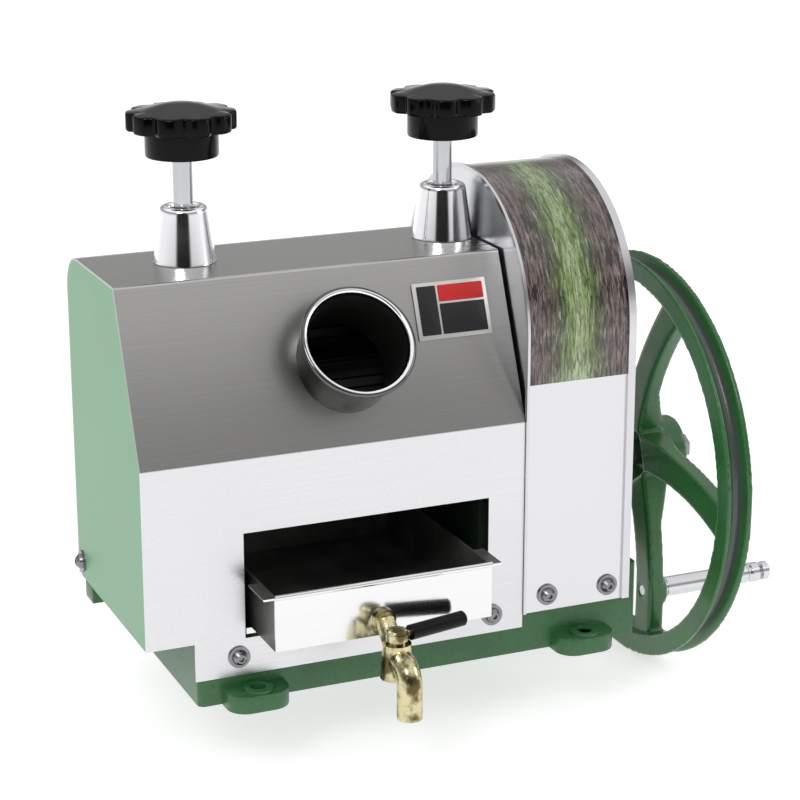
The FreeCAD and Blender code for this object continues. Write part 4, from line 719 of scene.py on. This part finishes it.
# %% Cast wheel
def cad_copy(name, node, join_flats=False):
    """A CAD node's mesh as a new piece, its loose triangles merged, and its flats joined."""
    piece = nodes[node].copy()
    piece.data = nodes[node].data.copy()
    piece.name = piece.data.name = name
    piece.parent = None
    piece.matrix_world = IN_PLACE
    bpy.context.scene.collection.objects.link(piece)
    only(piece)
    edit()
    everything()
    bpy.ops.mesh.remove_doubles(threshold=WELD)
    if join_flats:
        bpy.ops.mesh.dissolve_limited(angle_limit=math.radians(1))
    edit(False)
    return piece


wheel = cad_copy("cast_wheel", "handwheel")
applied(wheel, "REMESH", mode="VOXEL", voxel_size=0.0016, use_smooth_shade=True)
applied(wheel, "SMOOTH", factor=0.5, iterations=5)
settle(wheel, IN_PLACE, "crank", wheel_enamel, ("handwheel",), 180)

# %% [markdown]
# ## Base casting
# The base is cast too, but it is long and thin-walled, and a relaxed skin would eat its walls.
# The triangles of each flat face are joined up first, in the same visit to edit mode that
# merges them, and then a bevel rounds only the edges where two faces meet at a clear angle, by
# a little more than a millimetre.

# %% Base casting
base = cad_copy("cast_base", "base_frame", join_flats=True)
applied(base, "BEVEL", width=0.0012, segments=2, limit_method="ANGLE",
        angle_limit=math.radians(40))
settle(base, IN_PLACE, "frame", base_enamel, ("base_frame",), 30)

# %% [markdown]
# ## Disc springs
# Coned steel discs lie between each bearing block and its screw. When the top roller rides up over
# a thick cane the discs are pressed flatter. Here the stack is a copy of the CAD node with its
# flats joined, fixed to the frame, and given a mesh of its own.

# %% Disc springs
springs = cad_copy("disc_springs", "block_springs", join_flats=True)
settle(springs, IN_PLACE, "frame", turned_steel, ("block_springs",), 30)
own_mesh(springs)

# %% [markdown]
# ## Crank handle
# The handle is a polished sleeve with a groove near its end and a rounded cap. It is spun
# upright and then laid along the wheel's axis, on the spindle.

# %% Crank handle
HANDLE_Y, HANDLE_Z = -0.03825, -0.00081
SLEEVE_PROFILE = (
    (0.0042, 0.2412), (0.0076, 0.2412), (0.008, 0.2418), (0.008, 0.3158), (0.0074, 0.3166),
    (0.0068, 0.3176), (0.0068, 0.3186), (0.0074, 0.3196), (0.008, 0.3204), (0.008, 0.3268),
    (0.0076, 0.3274), (0.0042, 0.3274), (0.0042, 0.2412))
settle(turned("handle_tube", SLEEVE_PROFILE, 48), at(0, HANDLE_Y, HANDLE_Z) @ TO_X,
       "handle_grip", handle_steel, ("handle_sleeve",), 30)

# %% [markdown]
# ## Tap cap
# A round brass cap holds the tap's lever on its plug. It is a low spun dome with a flat foot.

# %% Tap cap
TAP_X, TAP_Y = -0.048, -0.172
CAP_PROFILE = (
    (0.0, 0.0589), (0.0072, 0.0589), (0.0076, 0.0593), (0.0076, 0.0604), (0.0070, 0.0614),
    (0.0050, 0.0622), (0.0026, 0.0626), (0.0, 0.0627))
settle(turned("tap_cap", CAP_PROFILE, 40), at(TAP_X, TAP_Y, 0), "tap_turn", tap_brass, (), 50)

# %% [markdown]
# ## Blank plate
# A small aluminium plate is stuck on the slope beside the tube. It has a bright border, a red
# bar and two black fields, and carries no writing. The fields are printed ink: flat colour with
# a very fine grain.

# %% Plate finishes
def printed(name, colour, shine):
    paint = Paint(name)
    grain = paint.noise(1400.0, 3.0)
    paint.set(Base_Color=paint.mix(grain * 0.5, colour, darker(colour, 0.7)),
              Roughness=grain * 0.12 + shine)
    paint.bump(grain, 0.03, 0.0002)
    return paint.material


plate_silver = brushed_sheet("plate_silver", "X", rgb(222, 221, 216), rough=0.34)
plate_red = printed("plate_red", rgb(190, 26, 26), 0.28)
plate_black = printed("plate_black", rgb(12, 12, 12), 0.34)
print("materials in all", len(bpy.data.materials))

# %% [markdown]
# ## The plate's layers
# Each field is its own thin layer, a hair proud of the plate, so that light finds its border. A
# cube is stretched to a card, its four upright edges are bevelled to round corners, and its
# upper face is inset and lifted a little. The card is then turned to lie on the slope.

# %% Plate on the slope
SLOPE_RUN, SLOPE_RISE = 0.0476, 0.1173
BEND_Y, BEND_Z = -0.1145, 0.1797
SHEET_TOP, PLATE_TOP, INK_TOP = 0.0, 0.0005, 0.0007
slope_turn = Matrix.Rotation(math.atan2(SLOPE_RISE, SLOPE_RUN), 4, "X")
slope_up = Vector((0, SLOPE_RUN, SLOPE_RISE)).normalized()
slope_out = Vector((0, -SLOPE_RISE, SLOPE_RUN)).normalized()


def slope_field(name, x0, x1, up0, up1, low, high, finish):
    """A thin rounded card on the slope, from its lowest to its highest layer above the sheet."""
    bend = Vector(((x0 + x1) / 2, BEND_Y, BEND_Z))
    middle = bend + slope_up * (up0 + up1) / 2 + slope_out * (low + high) / 2
    piece = start(name, "primitive_cube_add", size=1)
    edit()
    bpy.ops.transform.resize(value=(x1 - x0, up1 - up0, high - low))
    pick("edges", lambda edge: abs(edge.verts[0].co.z - edge.verts[1].co.z) > (high - low) / 2)
    bpy.ops.mesh.bevel(offset=0.0008, segments=4, affect="EDGES")
    pick("faces", lambda face: face.normal.z > 0.9)
    bpy.ops.mesh.inset(thickness=0.0001)
    bpy.ops.transform.translate(value=(0, 0, 0.00003))
    edit(False)
    settle(piece, at(*middle) @ slope_turn, "frame", finish)


slope_field("plate_back", 0.0050, 0.0623, 0.0670, 0.1080, SHEET_TOP, PLATE_TOP, plate_silver)
slope_field("plate_bar", 0.0243, 0.0595, 0.0935, 0.1055, PLATE_TOP, INK_TOP, plate_red)
slope_field("plate_field_wide", 0.0243, 0.0595, 0.0700, 0.0920, PLATE_TOP, INK_TOP, plate_black)
slope_field("plate_field_slim", 0.0080, 0.0228, 0.0700, 0.1055, PLATE_TOP, INK_TOP, plate_black)

# %% [markdown]
# ## Studio floor
# The wheel reaches below the base, so the floor lies just under the wheel. It glows a little of
# its own, so that it stays white right up to the machine and its shadow is faint.

# %% Floor
FLOOR_GAP = 0.0004
bpy.ops.object.select_all(action="DESELECT")
bpy.ops.mesh.primitive_plane_add(size=14, location=(0, 0, cad_box[0][2] - FLOOR_GAP))
floor = bpy.context.object
floor.name = "studio_floor"
floor_paint = Paint("studio_floor")
floor_paint.set(Base_Color=(0.62, 0.62, 0.62, 1), Roughness=0.8, Specular_IOR_Level=0.1,
                Emission_Color=(1, 1, 1, 1), Emission_Strength=0.64)
floor.data.materials.append(floor_paint.material)
print("floor at", round(floor.location.z, 4))

# %% [markdown]
# ## Studio air
# Steel shows whatever it mirrors, so the air is not the same for every ray: to the eye it is
# white, as a light it is even, and in a mirror it has a grey band above the horizon, a bright
# ceiling, and a dark gap on one side, as a black card beside the lamps would give. That gap
# gives round chrome its dark middle.

# %% Air
DARK_CARD = (-0.396, -0.918, 0.0)
CARD_FADE = (0.84, 0.92)
EVEN_LIGHT = 0.80
AIR_GREYS = ((0.0, 0.95), (0.06, 0.95), (0.20, 0.42), (0.34, 0.30), (0.46, 0.48), (0.58, 0.80),
             (0.70, 1.0))
world = bpy.data.worlds.new("studio_air")
bpy.context.scene.world = world
world.use_nodes = True
air = Graph(world.node_tree, "Generated")
grey_stops = [(position, (grey, grey, grey, 1)) for position, grey in AIR_GREYS]
band = air.node("ShaderNodeValToRGB", {"stops": grey_stops}, air.axis("Z"))
toward_card = air.vector("DOT_PRODUCT", air.place, DARK_CARD)
mirrored = band * (1 - air.ramp(toward_card, *CARD_FADE) * 0.985)
seen = air.node("ShaderNodeLightPath", {}, out="Is Camera Ray")
shiny = air.node("ShaderNodeLightPath", {}, out="Is Glossy Ray")
light = shiny * mirrored + (1 - shiny) * EVEN_LIGHT
background = world.node_tree.nodes["Background"]
air.put(background.inputs["Color"], (1, 1, 1, 1))
air.put(background.inputs["Strength"], seen + (1 - seen) * light)
print("air with", len(AIR_GREYS), "greys in mirrors")

# %% [markdown]
# ## Lamps
# Two large discs stand in for soft boxes, the stronger one on the left. They only shape the
# light of the air: a large lamp gives a soft edge to every shadow.

# %% Lamps
def soft_light(name, place, target, size, power):
    lamp = bpy.data.lights.new(name, "AREA")
    lamp.shape, lamp.size, lamp.energy = "DISK", size, power
    holder = bpy.data.objects.new(name, lamp)
    holder.location = place
    holder.rotation_euler = (Vector(target) - Vector(place)).to_track_quat("-Z", "Y").to_euler()
    bpy.context.scene.collection.objects.link(holder)


soft_light("key_light", (-1.2, -1.3, 1.6), (0, 0, 0.15), 0.8, 12)
soft_light("fill_light", (1.6, -0.8, 0.9), (0.1, 0, 0.15), 0.9, 5)
bpy.context.scene.view_settings.view_transform = "Standard"
bpy.context.scene.view_settings.look = "None"
print("lamps", len(bpy.data.lights))

# %% [markdown]
# ## Camera
# The camera stands to the left of the machine and above it, far enough off that the box keeps
# nearly parallel edges. Its focal length is known in pixels of a square frame, so the lens
# follows from the width of the sensor.

# %% Camera
SENSOR, FOCAL_PIXELS, FRAME_PIXELS = 36.0, 2300, 800
EYE = (-0.6318, -1.5295, 0.679)
GAZE = Vector((0.379, 0.878, -0.292))
lens = bpy.data.cameras.new("view")
lens.sensor_width, lens.lens = SENSOR, SENSOR * FOCAL_PIXELS / FRAME_PIXELS
camera = bpy.data.objects.new("view", lens)
camera.location = EYE
camera.rotation_euler = GAZE.to_track_quat("-Z", "Y").to_euler()
bpy.context.scene.collection.objects.link(camera)
bpy.context.scene.camera = camera
print("lens", lens.lens, "mm")
